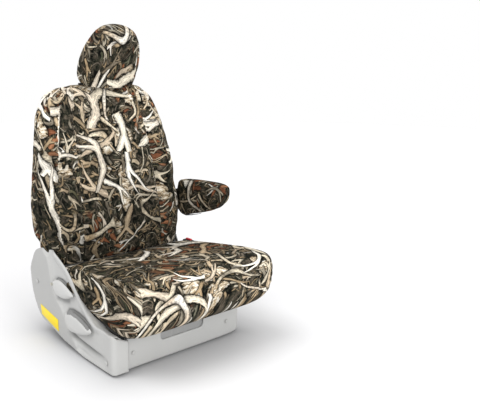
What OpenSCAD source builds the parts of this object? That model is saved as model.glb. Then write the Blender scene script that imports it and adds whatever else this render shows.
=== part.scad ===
// Truck front passenger seat wearing a fitted four-piece seat cover set: covers for
// the cushion, the backrest, the headrest and the folding armrest.
// Millimetres. +Z is up, the seat faces -Y, and +X is the inboard side with the armrest.
// The origin is the middle of the four floor bolts, on the floor.

/* [Cushion] */
// Half width of the covered cushion
cushion_half_w = 306; // [300:1:306]
// Middle of the cushion, in X
cushion_x = 18; // [18:1:22]
// Front of the covered cushion, in Y
cushion_front = -362; // [-368:1:-350]
// Height of the covered cushion's top, at Y = 0
cushion_top = 295; // [290:1:297]
// Rise of the cushion's top towards the front, in mm per mm
cushion_tilt = 0.13; // [0.1:0.01:0.14]

/* [Backrest] */
// Widest half width of the covered backrest
back_half_w = 294; // [288:1:294]
// Height of the covered backrest's top
back_top = 884; // [880:1:890]
// Recliner pivot, in Y
pivot_y = 180; // [178:1:182]
// Recliner pivot, in Z
pivot_z = 262; // [260:1:264]
// Lean of the back frame from upright, in degrees
back_lean = 10; // [9:0.5:11]

/* [Headrest] */
// Half width of the covered headrest
head_half_w = 122; // [118:1:125]
// Height of the covered headrest's top
head_top = 1096; // [1090:1:1105]
// Distance between the two posts
post_spacing = 140; // [130:1:150]
// Radius of a post
post_r = 6; // [5:0.5:6]
// Forward lean of the posts from upright, in degrees
post_lean = 12; // [11:0.5:13]

/* [Armrest] */
// Inner side of the covered armrest, in X
arm_in = 298; // [298:1:302]
// Width of the covered armrest
arm_w = 68; // [64:1:75]
// Armrest pivot, in Y
arm_pivot_y = 192; // [190:1:194]
// Armrest pivot, in Z
arm_pivot_z = 446; // [442:1:450]

/* [Base] */
// Outer face of the side trims, in X
trim_x = 292; // [291:1:293]
// Front face of the valance, in Y
valance_y = -226; // [-228:1:-225]
// Height of the trims' lower edge over the floor
skirt_gap = 7; // [5:1:10]
// Wall of the moulded trims
trim_wall = 3; // [2.5:0.5:3]

/* [Slide rails] */
// Distance between the two rails
rail_spacing = 400; // [396:1:404]
// Distance between the outboard and inboard floor bolts
bolt_spacing = 464; // [460:1:468]
// Distance between the front and rear floor bolts
bolt_pitch = 380; // [370:1:390]
// Radius of a floor bolt hole
floor_hole_r = 5.5; // [4.5:0.5:6]

/* [Fabric] */
// Thickness of the cover fabric with its foam backing
fabric = 4; // [3:0.5:5]
// Gap between the fabric and the foam inside
ease = 2.5; // [2:0.1:3]

/* [Hidden] */
SIDES = [-1, 1];
wall_in = fabric + ease;
foam_step = 38;

// Rows of the lofted soft pieces: [height at Y = 0, half width, front, rear, slope in Y]
cushion_rows = refine([
    [cushion_top - 129, cushion_half_w - 34, cushion_front + 120, 108, 0.20],
    [cushion_top - 114, cushion_half_w - 14, cushion_front + 58, 116, 0.14],
    [cushion_top - 90, cushion_half_w - 2, cushion_front + 16, 120, 0.06],
    [cushion_top - 60, cushion_half_w, cushion_front, 121, -0.02],
    [cushion_top - 32, cushion_half_w - 2, cushion_front + 3, 114, -0.09],
    [cushion_top - 12, cushion_half_w - 18, cushion_front + 24, 96, 0.01 - cushion_tilt],
    [cushion_top, cushion_half_w - 62, cushion_front + 72, 50, -cushion_tilt],
], 2);
back_rows = refine([
    [272, back_half_w - 20, 109, 244, 0],
    [320, back_half_w - 8, 100, 278, 0],
    [400, back_half_w, 102, 308, 0],
    [490, back_half_w - 1, 118, 320, 0],
    [600, back_half_w - 18, 138, 318, 0],
    [708, back_half_w - 34, 166, 322, 0],
    [790, back_half_w - 52, 194, 326, 0],
    [848, back_half_w - 84, 208, 314, 0],
    [back_top, back_half_w - 140, 224, 288, 0],
], 2);
head_rows = refine([
    [head_top - 273, head_half_w - 20, 161, 262, 0.30],
    [head_top - 211, head_half_w - 5, 151, 266, 0.14],
    [head_top - 160, head_half_w, 138, 255, 0.06],
    [head_top - 114, head_half_w - 2, 127, 241, 0],
    [head_top - 80, head_half_w - 11, 117, 225, 0],
    [head_top - 50, head_half_w - 26, 112, 208, 0],
    [head_top - 24, head_half_w - 45, 116, 192, 0],
    [head_top - 6, head_half_w - 72, 131, 179, 0],
    [head_top, head_half_w - 92, 143, 168, 0],
], 2);
// Rows of the armrest, root to tip: [Y, half width, underside, top]
arm_mid = arm_in + arm_w / 2;
arm_rows = refine([
    [168, arm_w / 2 - 3, 374, 508],
    [130, arm_w / 2, 366, 515],
    [60, arm_w / 2, 384, 520],
    [0, arm_w / 2, 402, 522],
    [-46, arm_w / 2 - 2, 424, 522],
    [-76, arm_w / 2 - 9, 448, 518],
    [-93, arm_w / 2 - 22, 474, 510],
], 2);
soft_sides = 40;
foam_sides = 32;
cushion_square = 7;
back_square = 4.6;
head_square = 3;
arm_square = 3.4;

// ---- Shared functions ----

// Smooth value between b and c, from a to d, at share t
function spline(a, b, c, d, t) =
    0.5 * (2 * b + (c - a) * t + (2 * a - 5 * b + 4 * c - d) * t * t
        + (3 * b - a - 3 * c + d) * t * t * t);

// A list of points or rows, with a whole number of steps between each two
function refine(rows, steps) = [
    for (i = [0 : len(rows) - 2], k = [0 : steps - 1])
        spline(rows[max(i - 1, 0)], rows[i], rows[i + 1], rows[min(i + 2, len(rows) - 1)],
            k / steps),
    rows[len(rows) - 1]
];

// Point at an angle on a superellipse with half sizes a and b, and squareness p
function oval(a, b, angle, p) =
    let (c = cos(angle), s = sin(angle))
        [a * sign(c) * pow(abs(c), 2 / p), b * sign(s) * pow(abs(s), 2 / p)];

// Ring of n points round one row, moved in X
function level_ring(row, n, p, x0 = 0) = [
    for (i = [0 : n - 1])
        let (q = oval(row[1], (row[3] - row[2]) / 2, 360 * i / n, p),
            y = (row[2] + row[3]) / 2 + q[1])
            [x0 + q[0], y, row[0] + row[4] * y]
];

// Ring of n points round the part of a row in front of a flat rear
function flat_ring(row, n, p, rear) =
    let (b = (row[3] - row[2]) / 2, mid = (row[2] + row[3]) / 2, u = (rear - mid) / b,
        start = asin(sign(u) * pow(abs(u), p / 2)))
        [for (i = [0 : n - 1])
            let (q = oval(row[1], b, 180 - start + i * (180 + 2 * start) / (n - 1), p))
                [q[0], mid + q[1], row[0]]];

// Upright ring of n points across the armrest for one row
function cross_ring(row, n, p) = [
    for (i = [0 : n - 1])
        let (q = oval(row[1], (row[3] - row[2]) / 2, 360 * i / n, p))
            [arm_mid + q[0], row[0], (row[2] + row[3]) / 2 + q[1]]
];

// Outward direction of the profile at row i, as [across, along]; the last row faces along
function row_normal(rows, i) =
    let (last = len(rows) - 1, a = rows[max(i - 1, 0)], b = rows[min(i + 1, last)],
        across = b[1] - a[1], along = abs(b[0] - a[0]), size = norm([across, along]))
        i == last ? [0, 1] : i == 0 ? [1, 0] : [along / size, -across / size];

// Rows drawn in by a distance all over, but left level with the open end
function inset(rows, d) = [
    for (i = [0 : len(rows) - 1])
        let (v = row_normal(rows, i), step = sign(rows[1][0] - rows[0][0]), r = rows[i])
            concat([r[0] - step * d * v[1], r[1] - d * v[0], r[2] + d * v[0], r[3] - d * v[0]],
                [for (k = [4 : 1 : len(r) - 1]) r[k]])
];

// Faces joining m rings of n points, starting at point number base
function side_faces(n, m, base, flip) = [
    for (k = [0 : m - 2], i = [0 : n - 1], half = [0, 1])
        let (j = (i + 1) % n, a = base + k * n + i, b = base + k * n + j,
            tri = half == 0 ? [a, a + n, b] : [b, a + n, b + n])
            flip ? [tri[2], tri[1], tri[0]] : tri
];

// Closed solid through level or upright rings
module loft(rings) {
    n = len(rings[0]);
    m = len(rings);
    polyhedron(
        points = [for (r = rings, q = r) q],
        faces = concat(
            [[for (i = [0 : n - 1]) i]],
            side_faces(n, m, 0, false),
            [[for (i = [n - 1 : -1 : 0]) (m - 1) * n + i]]
        )
    );
}

// Fabric sock between outer and inner rings, open at its first ring
module sock(outer, inner) {
    n = len(outer[0]);
    m = len(outer);
    top = (m - 1) * n;
    polyhedron(
        points = concat([for (r = outer, q = r) q], [for (r = inner, q = r) q]),
        faces = concat(
            side_faces(n, m, 0, false),
            [[for (i = [n - 1 : -1 : 0]) top + i]],
            side_faces(n, m, m * n, true),
            [[for (i = [0 : n - 1]) m * n + top + i]],
            [for (i = [0 : n - 1], half = [0, 1]) let (j = (i + 1) % n)
                half == 0 ? [i, j, m * n + i] : [j, m * n + j, m * n + i]]
        )
    );
}

// Cylinder along X between two places, at y and z
module rod_x(x1, x2, y, z, r) {
    translate([min(x1, x2), y, z]) rotate([0, 90, 0]) cylinder(h = abs(x2 - x1), r = r, $fn = 48);
}

// Round bar from point a to point b
module bar(a, b, r) {
    d = b - a;
    translate(a) rotate([0, acos(d[2] / norm(d)), atan2(d[1], d[0])])
        cylinder(h = norm(d), r = r, $fn = 32);
}

// Plate across X between two places, with an outline in Y and Z
module side_plate(x1, x2, outline) {
    translate([min(x1, x2), 0, 0]) rotate([90, 0, 90])
        linear_extrude(abs(x2 - x1)) polygon(outline);
}

// Box from its low corner to its high corner
module span(a, b) {
    translate(a) cube(b - a);
}

// Y of the back frame's line at a height
function frame_y(z) = pivot_y + (z - pivot_z) * tan(back_lean);

// ---- Slide rails ----
rail_w = 44;
rail_h = 26;
rail_wall = 2.5;
rail_slot = 16;
rail_front = -214;
rail_rear = 214;
foot_t = 4;
upper_front = -205;
upper_rear = 205;
flange_z = 50;
flange_t = 4;
pin_clear = 0.05;
bar_pin_r = 4;
bar_pin_y = -60;
bar_pin_z = 72;
bar_ear_x = 188;

// Channel bolted to the floor, with a tab beside each end for the floor bolt
module lower_rail(side) {
    x = side * rail_spacing / 2;
    color("dimgray") difference() {
        union() {
            translate([x - rail_w / 2, rail_front, foot_t])
                cube([rail_w, rail_rear - rail_front, rail_h]);
            for (end = SIDES)
                translate([min(x - side * rail_w / 2, side * (bolt_spacing / 2 + 16)),
                    end * bolt_pitch / 2 - 18, 0])
                    cube([bolt_spacing / 2 + 16 - rail_spacing / 2 + rail_w / 2, 36, foot_t]);
        }
        translate([x - rail_w / 2 + rail_wall, rail_front - 1, foot_t + rail_wall])
            cube([rail_w - 2 * rail_wall, rail_rear - rail_front + 2, rail_h - 2 * rail_wall]);
        translate([x - rail_slot / 2, rail_front - 1, foot_t + rail_wall])
            cube([rail_slot, rail_rear - rail_front + 2, rail_h]);
        for (end = SIDES)
            translate([side * bolt_spacing / 2, end * bolt_pitch / 2, -1])
                cylinder(h = foot_t + 2, r = floor_hole_r, $fn = 48);
    }
}

// Rail that slides in the channel, with a flange on top and a pin for the slide bar
module upper_rail(side) {
    x = side * rail_spacing / 2;
    color("silver") {
        span([x - 3, upper_front, foot_t + 8], [x + 3, upper_rear, flange_z]);
        span([x - 15, upper_front, foot_t + 8], [x + 15, upper_rear, foot_t + 12]);
        span([x - 15, upper_front, flange_z], [x + 15, upper_rear, flange_z + flange_t]);
        side_plate(side * bar_ear_x, side * (bar_ear_x + 6),
            [[bar_pin_y - 12, flange_z + 1], [bar_pin_y + 12, flange_z + 1],
                [bar_pin_y + 9, bar_pin_z + 10], [bar_pin_y - 9, bar_pin_z + 10]]);
        rod_x(side * (bar_ear_x + 3), side * (bar_ear_x - 16), bar_pin_y, bar_pin_z, bar_pin_r);
    }
}

// Plastic glides on the upper rails' feet, two to a rail
module rail_glides() {
    color("ivory") for (side = SIDES, y = [-150, 120]) {
        x = side * rail_spacing / 2;
        span([x - 17, y, foot_t + 3.2], [x + 17, y + 30, foot_t + 8]);
    }
}

// ---- Cushion frame ----
riser_x = 212;
riser_t = 3;
tube_front_y = -150;
tube_front_z = 138;
tube_rear_y = 150;
tube_rear_z = 128;
plate_x = 262;
plate_t = 4;
pan_z = 150;
pan_t = 3;

// Stamped bracket from the rail up to the front cross tube
module front_riser(side) {
    color("dimgray") {
        side_plate(side * riser_x, side * (riser_x + riser_t),
            [[-196, 54], [-96, 54], [-124, 120], [-134, 160], [-166, 160], [-176, 120]]);
        span([min(side * 186, side * riser_x), -190, flange_z + flange_t],
            [max(side * 186, side * riser_x), -102, flange_z + flange_t + riser_t]);
    }
}

module front_cross_tube() {
    color("dimgray") rod_x(-riser_x, riser_x, tube_front_y, tube_front_z, 13);
}

module rear_cross_tube() {
    x = plate_x - plate_t;
    color("dimgray") rod_x(-x, x, tube_rear_y, tube_rear_z, 13);
}

// Pressed pan under the foam, dished to the rear, with its front lip turned down
module cushion_pan() {
    color("gray") side_plate(-222, 222, [
        [-276, 146], [-272, 170], [-262, 178], [-200, 168], [-60, 162], [100, 164],
        [136, 146], [158, 141.5], [158, 144.5], [137, 149.5], [101, 167.5], [-60, 165.5],
        [-200, 171.5], [-264, 182], [-275, 172], [-279, 146],
    ]);
}

// Moulded cushion foam, standing on the pan
module cushion_foam() {
    inner = inset(cushion_rows, wall_in);
    rows = [for (i = [4 : len(inner) - 1]) inner[i]];
    color("khaki") loft([for (r = rows) level_ring(r, foam_sides, cushion_square, cushion_x)]);
}

// Fitted cushion cover, open underneath
module cushion_cover() {
    color("darkolivegreen") sock(
        [for (r = cushion_rows) level_ring(r, soft_sides, cushion_square, cushion_x)],
        [for (r = inset(cushion_rows, fabric))
            level_ring(r, soft_sides, cushion_square, cushion_x)]);
}

strap_x = 110;
strap_w = 25;

// Webbing straps from the cushion cover's front hem, hooked to the pan's underside
module cushion_straps() {
    color("black") for (side = SIDES)
        side_plate(cushion_x + side * (strap_x - strap_w / 2),
            cushion_x + side * (strap_x + strap_w / 2), [
            [-234, 130], [-226, 117], [-180, 116], [0, 116], [54, 140], [56, 160],
            [60, 160], [58, 138], [1, 113.5], [-180, 113.5], [-228, 114], [-237, 129],
        ]);
}

// Side-release buckles on the straps, each a plug half and a socket half
module strap_buckles() {
    color("black") for (side = SIDES) {
        x = cushion_x + side * strap_x;
        span([x - 17, -92, 103], [x + 17, -58, 113]);
        span([x - 15, -57.6, 103.5], [x + 15, -40, 112.5]);
        span([x - 4, -40, 104.5], [x + 4, -28, 111.5]);
    }
}

// ---- Recliner ----
pin_r = 8;
arm_plate_x = 246;
arm_plate_t = 6;

// Plate from the rail up to the recline pivot
module recliner(side) {
    x1 = side * plate_x;
    x2 = side * (plate_x - plate_t);
    color("dimgray") {
        difference() {
            union() {
                side_plate(x1, x2, [[128, 54], [206, 54], [212, 150], [pivot_y + 30, pivot_z],
                    [pivot_y - 30, pivot_z], [134, 160]]);
                rod_x(x1, x2, pivot_y, pivot_z, 30);
                if (side < 0) side_plate(x1, x2, [[lever_y - 13, lever_z - 14], [150, 170],
                    [160, 236], [lever_y - 13, lever_z + 14]]);
            }
            rod_x(side * (plate_x + 1), side * (plate_x - plate_t - 1), pivot_y, pivot_z, pin_r);
        }
        span([min(side * 186, side * (plate_x - plate_t)), 130, flange_z + flange_t],
            [max(side * 186, side * (plate_x - plate_t)), 202, flange_z + flange_t + 4]);
    }
}

// Pivot pins, one to a side, headed outside the plates
module recliner_pins() {
    color("silver") for (side = SIDES) {
        rod_x(side * (arm_plate_x - arm_plate_t - 4), side * plate_x, pivot_y, pivot_z, pin_r);
        rod_x(side * plate_x, side * (plate_x + 5), pivot_y, pivot_z, 13);
    }
}

lever_y = 118;
lever_z = 214;
lever_pin_r = 5;

// Shaft from the recliner's ear out to the recline lever, with a collar
module recline_shaft() {
    color("silver") {
        rod_x(-plate_x, -trim_x - 13, lever_y, lever_z, lever_pin_r);
        rod_x(-plate_x, -plate_x - 6, lever_y, lever_z, 11);
    }
}

// One arm, with the bore for its pivot pin
module arm_outline(side) {
    x1 = side * arm_plate_x;
    x2 = side * (arm_plate_x - arm_plate_t);
    difference() {
        union() {
            side_plate(x1, x2, [[pivot_y - 24, pivot_z], [pivot_y + 24, pivot_z],
                [frame_y(400) + 12, 400], [frame_y(400) - 12, 400]]);
            rod_x(x1, x2, pivot_y, pivot_z, 24);
        }
        rod_x(side * (arm_plate_x + 1), side * (arm_plate_x - arm_plate_t - 1),
            pivot_y, pivot_z, pin_r + pin_clear);
    }
}

// Arms bolted to the back frame, turning on the pivot pins
module recliner_arms() {
    color("silver") for (side = SIDES) arm_outline(side);
}

// ---- Moulded trims ----
// Side outline of the outboard shield, in Y and Z, from the front foot round
shield_outline = concat(
    [[-238, skirt_gap], [-60, skirt_gap]],
    refine([[60, 22], [160, 46], [229, 68], [278, 140], [294, 226]], 2),
    refine([[292, 236], [258, 296], [222, 317], [170, 328], [121, 324]], 2),
    refine([[112, 320], [62, 292], [24, 268], [-16, 222], [-79, 162], [-132, 134]], 2),
    [[-170, 126], [-230, 138], [-238, 132]]
);
shield_back = -trim_x + trim_wall;

// Outboard shield: side wall, return round the front corner, and inner ribs
module outboard_trim() {
    color("gainsboro") difference() {
        union() {
            side_plate(-trim_x, shield_back, shield_outline);
            span([-trim_x, -238, skirt_gap], [-240, -238 + trim_wall, valance_top]);
            span([-trim_x, -238, valance_top], [-254, -238 + trim_wall, 126]);
            side_plate(shield_back, shield_back + 12, [[150, 60], [153, 60], [153, 262], [150, 262]]);
            for (y = [-150, -20])
                side_plate(shield_back, shield_back + 12,
                    [[y, 20], [y + 3, 20], [y + 3, 118], [y, 118]]);
            rod_x(shield_back, -trim_x - 2, lever_y, lever_z, 22);
            rod_x(shield_back, -trim_x - 2, entry_y, entry_z, 16);
            rod_x(-trim_x - 2, -trim_x - 12, entry_y, entry_z, entry_pin_r);
        }
        rod_x(-trim_x - 5, shield_back + 5, lever_y, lever_z, lever_pin_r + 2);
    }
}

// Inboard shield, lower, covering the recliner on the console side
module inboard_trim() {
    color("gainsboro") side_plate(trim_x - trim_wall, trim_x, concat(
        [[-184, skirt_gap], [-60, skirt_gap], [60, 22], [160, 46]],
        refine([[229, 68], [278, 140], [294, 226], [258, 288], [200, 304], [146, 290]], 2),
        refine([[134, 262], [124, 186], [60, 142], [0, 128], [-184, 110]], 2)
    ));
}

notch_left = -94;
notch_right = 96;
notch_z = 70;
valance_top = 112;

// Front panel between the shields, bent back at its inboard end, with a notch in its top
// that gives a hand room to reach the slide bar
module front_valance() {
    y = valance_y;
    t = trim_wall;
    color("gainsboro") difference() {
        translate([0, 0, skirt_gap]) linear_extrude(valance_top - skirt_gap) polygon(concat(
            [[-238, y]],
            refine([[200, y], [256, y + 5], [284, y + 18], [trim_x, y + 38]], 3),
            refine([[trim_x - t, y + 38], [282, y + 20], [255, y + 8], [200, y + t]], 3),
            [[-238, y + t]]
        ));
        span([notch_left, y - 5, notch_z], [notch_right, y + 10, valance_top + 5]);
    }
}

// Push-in screws that hold the shields and the valance
module trim_screws() {
    color("gray") {
        for (p = [[240, 190], [-200, 40]]) rod_x(-trim_x, -trim_x - 2.5, p[0], p[1], 7);
        for (x = [-206, 206]) translate([x, valance_y, 60]) rotate([90, 0, 0])
            cylinder(h = 2.5, r = 7, $fn = 48);
    }
}

// Blank tag stuck to the shield's lower rear
module side_tag() {
    color("gold") side_plate(-trim_x, -trim_x - 0.8, [[96, 44], [214, 72], [222, 108], [98, 86]]);
}

// ---- Levers ----
entry_y = 14;
entry_z = 118;
entry_pin_r = 5;
lever_out = 15;

// Paddle on the shield: an outline in Y and Z, thick enough to hook fingers under
module paddle(points, py, pz, pr) {
    color("whitesmoke") difference() {
        union() {
            side_plate(-trim_x - 2.5, -trim_x - lever_out, points);
            rod_x(-trim_x - 2.5, -trim_x - lever_out, py, pz, 19);
        }
        rod_x(-trim_x - 1, -trim_x - lever_out + 2, py, pz, pr + pin_clear);
    }
}

// Upper paddle, lifted to unlock the backrest
module recline_lever() {
    paddle(concat([[lever_y + 8, lever_z - 19]],
        refine([[96, 240], [50, 248], [8, 240], [-22, 218]], 3),
        refine([[-25, 210], [8, 202], [50, 196], [lever_y - 6, lever_z - 19]], 3)),
        lever_y, lever_z, lever_pin_r);
}

// Lower paddle, lifted to slide the seat forward for entry behind it
module entry_lever() {
    paddle(concat(
        refine([[26, 134], [-14, 146], [-64, 140], [-112, 118]], 3),
        refine([[-119, 108], [-102, 100], [-54, 96], [18, 99]], 3)),
        entry_y, entry_z, entry_pin_r);
}

bar_y = -212;
bar_z = 78;
bar_r = 5;

// Bar under the front edge, lifted to unlock the slide rails
module slide_bar() {
    grip = 84;
    eye = bar_ear_x - 3;
    color("silver") rod_x(-grip, grip, bar_y, bar_z, bar_r);
    color("silver") for (side = SIDES) difference() {
        union() {
            bar([side * (grip - 4), bar_y, bar_z], [side * (eye - 6), bar_pin_y - 4, bar_pin_z],
                bar_r - 0.5);
            rod_x(side * (eye - 12), side * eye, bar_pin_y, bar_pin_z, 9);
        }
        rod_x(side * (eye - 20), side * (eye + 5), bar_pin_y, bar_pin_z,
            bar_pin_r + pin_clear);
    }
}

// ---- Seat belt buckle ----
buckle_x = 320;
buckle_y = 118;
buckle_low = 210;
buckle_top = 266;
stalk_y = 130;
stalk_z = 132;

// Steel strap in its sleeve, outside the inboard shield
module buckle_stalk() {
    color("black") difference() {
        side_plate(buckle_x - 2, buckle_x + 2, [[stalk_y - 16, stalk_z - 14],
            [stalk_y + 16, stalk_z - 14], [buckle_y + 12, buckle_low], [buckle_y - 12, buckle_low]]);
        rod_x(buckle_x - 5, buckle_x + 5, stalk_y, stalk_z, 6);
    }
}

// Bolt and spacer that hold the stalk to the seat
module buckle_bolt() {
    color("silver") {
        rod_x(trim_x, buckle_x - 2, stalk_y, stalk_z, 12);
        rod_x(buckle_x - 3, buckle_x + 3, stalk_y, stalk_z, 5.5);
        rod_x(buckle_x + 2, buckle_x + 9, stalk_y, stalk_z, 11);
    }
}

// Buckle body with a tongue slot and a well for the button
module buckle_head() {
    color("dimgray") difference() {
        span([buckle_x - 8, buckle_y - 20, buckle_low], [buckle_x + 16, buckle_y + 20, buckle_top]);
        span([buckle_x - 4, buckle_y - 14, buckle_top - 30],
            [buckle_x + 1, buckle_y + 14, buckle_top + 1]);
        span([buckle_x + 3, buckle_y - 15, buckle_top - 16],
            [buckle_x + 13, buckle_y + 15, buckle_top + 1]);
    }
}

module buckle_button() {
    color("red") span([buckle_x + 3.4, buckle_y - 14.6, buckle_top - 8],
        [buckle_x + 12.6, buckle_y + 14.6, buckle_top + 5]);
}

// ---- Backrest ----
frame_x = 214;
frame_r = 11;
frame_top = 770;

// Tube frame: two uprights, a top tube, a lower tube, and spacers for the recliner arms
module back_frame() {
    top_z = frame_top - 14;
    color("dimgray") {
        for (side = SIDES) {
            bar([side * frame_x, frame_y(290), 290], [side * frame_x, frame_y(frame_top), frame_top],
                frame_r);
            for (z = [330, 380])
                rod_x(side * frame_x, side * (arm_plate_x - arm_plate_t), frame_y(z), z, 7);
        }
        rod_x(-frame_x, frame_x, frame_y(top_z), top_z, frame_r - 1);
        rod_x(-frame_x, frame_x, frame_y(306), 306, frame_r - 2);
    }
}

// Wires across the frame that carry the foam
module back_springs() {
    color("silver") for (z = [380 : 70 : 730])
        rod_x(-frame_x + frame_r, frame_x - frame_r, frame_y(z) - 4, z, 2);
}

// Moulded back foam, in front of the frame and flat behind
module back_foam() {
    inner = inset(back_rows, wall_in);
    color("khaki") loft([for (r = inner) if (r[0] > 280 && r[0] < back_top - 60)
        flat_ring(r, foam_sides, back_square, frame_y(r[0]) - foam_step)]);
}

// Line of the headrest posts
function post_y(z) = guide_y - (z - back_top) * tan(post_lean);
guide_y = 240;
lock_x = -post_spacing / 2 - 26;

// Round piece along one post's line, from height z1 to z2
module along_post(side, z1, z2, r) {
    translate([side * post_spacing / 2, post_y(z1), z1]) rotate([post_lean, 0, 0])
        cylinder(h = (z2 - z1) / cos(post_lean), r = r, $fn = 48);
}

// Fitted backrest cover, open underneath, with two holes for the headrest guides
module back_cover() {
    color("darkolivegreen") difference() {
        sock(
            [for (r = back_rows) level_ring(r, soft_sides, back_square)],
            [for (r = inset(back_rows, fabric)) level_ring(r, soft_sides, back_square)]);
        for (side = SIDES) along_post(side, back_top - 20, back_top + 10, 11);
    }
}

// Hook-and-loop flap that closes the cover up the lower middle of its rear
module back_closure() {
    rows = [for (r = back_rows) if (r[0] > 300 && r[0] < 560) r];
    color("black") side_plate(-14, 14, concat(
        [for (r = rows) [r[3] + 0.4, r[0]]],
        [for (i = [len(rows) - 1 : -1 : 0]) [rows[i][3] + 3, rows[i][0]]]));
}

// Plastic sleeves with a collar, one to a post
module headrest_guides() {
    color("black") for (side = SIDES) difference() {
        union() {
            along_post(side, back_top - 70, back_top + 4.5, 10.6);
            along_post(side, back_top + 3.6, back_top + 6.2, 14);
            if (side < 0) span([lock_x, guide_y - 8, back_top + 1.5], [lock_x + 14, guide_y + 8,
                back_top + 7.5]);
        }
        along_post(side, back_top - 75, back_top + 20, post_r + pin_clear);
        if (side < 0) span([lock_x - 1, guide_y - 5.3, back_top + 2.7], [lock_x + 8, guide_y + 5.3,
            back_top + 6.3]);
    }
}

// Button in the outboard collar's housing, pressed inwards to free the posts
module headrest_lock() {
    color("gray") span([lock_x - 3, guide_y - 5, back_top + 3], [lock_x + 4.5, guide_y + 5,
        back_top + 6]);
}

// Bracket on the back frame that carries the armrest bolt
module armrest_bracket() {
    color("dimgray") difference() {
        side_plate(frame_x + frame_r + 1, frame_x + frame_r + 7,
            [[arm_pivot_y - 12, arm_pivot_z - 16], [frame_y(arm_pivot_z) + 14, arm_pivot_z - 22],
                [frame_y(arm_pivot_z) + 18, arm_pivot_z + 22], [arm_pivot_y - 12, arm_pivot_z + 16]]);
        rod_x(frame_x, frame_x + 30, arm_pivot_y, arm_pivot_z, 6);
    }
}

arm_bolt_r = 6;
arm_core = arm_in + 14;

// Bolt that the armrest turns on
module armrest_bolt() {
    color("silver") {
        rod_x(frame_x + frame_r, arm_core + 8, arm_pivot_y, arm_pivot_z, arm_bolt_r);
        rod_x(arm_core + 6, arm_core + 12, arm_pivot_y, arm_pivot_z, 11);
    }
}

// ---- Headrest ----
post_low = back_top - 94;
post_high = head_top - 126;

// Chromed posts joined by a cross bar inside the foam
module headrest_posts() {
    color("silver") {
        for (side = SIDES) along_post(side, post_low, post_high, post_r);
        rod_x(-post_spacing / 2, post_spacing / 2, post_y(post_high - 10), post_high - 10,
            post_r - 1);
    }
}

// Moulded headrest foam around the posts' upper ends
module headrest_foam() {
    color("khaki") loft([for (r = inset(head_rows, wall_in)) if (r[0] > head_rows[0][0] + 8)
        level_ring(r, foam_sides, head_square)]);
}

// Headrest cover, open underneath where the posts leave
module headrest_cover() {
    color("darkolivegreen") sock(
        [for (r = head_rows) level_ring(r, foam_sides, head_square)],
        [for (r = inset(head_rows, fabric)) level_ring(r, foam_sides, head_square)]);
}

// Hook-and-loop strip that closes the headrest cover between the posts
module headrest_closure() {
    front = 172;
    z = head_rows[0][0] + head_rows[0][4] * front;
    color("black") translate([-48, front, z - 2.8]) rotate([atan(head_rows[0][4]), 0, 0])
        cube([96, 38, 2]);
}

// ---- Armrest ----
// Steel core with an eye that turns on the bolt
module armrest_frame() {
    x1 = arm_core;
    x2 = x1 + 5;
    color("dimgray") difference() {
        union() {
            side_plate(x1, x2, [[arm_pivot_y, arm_pivot_z - 17], [120, 412], [-50, 454],
                [-66, 474], [-50, 494], [120, 490], [arm_pivot_y, arm_pivot_z + 17]]);
            rod_x(x1, x2, arm_pivot_y, arm_pivot_z, 17);
        }
        rod_x(x1 - 5, x2 + 5, arm_pivot_y, arm_pivot_z, arm_bolt_r + pin_clear);
    }
}

// Foam moulded round the steel core
module armrest_foam() {
    rows = [for (r = inset(arm_rows, wall_in)) if (r[0] < 160) r];
    color("khaki") loft([for (r = rows) cross_ring(r, foam_sides, arm_square)]);
}

// Armrest cover, a sock open at the pivot end
module armrest_cover() {
    color("darkolivegreen") sock(
        [for (r = arm_rows) cross_ring(r, foam_sides, arm_square)],
        [for (r = inset(arm_rows, fabric)) cross_ring(r, foam_sides, arm_square)]);
}

// Hook-and-loop strip that closes the armrest cover under its root
module armrest_closure() {
    rows = [for (r = arm_rows) if (r[0] > 50) r];
    color("black") side_plate(arm_mid - 10, arm_mid + 10, concat(
        [for (r = rows) [r[0], r[2] - 0.4]],
        [for (i = [len(rows) - 1 : -1 : 0]) [rows[i][0], rows[i][2] - 2.4]]));
}

lower_rail(-1);  // lower_rail_outboard
lower_rail(1);  // lower_rail_inboard
upper_rail(-1);  // upper_rail_outboard
upper_rail(1);  // upper_rail_inboard
rail_glides();
front_riser(-1);  // front_riser_outboard
front_riser(1);  // front_riser_inboard
front_cross_tube();
rear_cross_tube();
cushion_pan();
cushion_foam();
cushion_cover();
cushion_straps();
strap_buckles();
recliner(-1);  // recliner_outboard
recliner(1);  // recliner_inboard
recliner_pins();
recline_shaft();
outboard_trim();
inboard_trim();
front_valance();
trim_screws();
side_tag();
slide_bar();
recline_lever();
entry_lever();
buckle_stalk();
buckle_bolt();
buckle_head();
buckle_button();
back_frame();
back_springs();
recliner_arms();
back_foam();
back_cover();
back_closure();
headrest_guides();
headrest_lock();
armrest_bracket();
armrest_bolt();
headrest_posts();
headrest_foam();
headrest_cover();
headrest_closure();
armrest_frame();
armrest_foam();
armrest_cover();
armrest_closure();
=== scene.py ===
"""Looks of a truck front passenger seat that wears a fitted four-piece seat cover set.

Lengths inside the functions are millimetres, in the CAD frame; meshes are made in metres.
"""
import math

import bmesh
import bpy
import numpy as np
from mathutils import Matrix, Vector, geometry, kdtree
from mathutils.bvhtree import BVHTree


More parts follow.
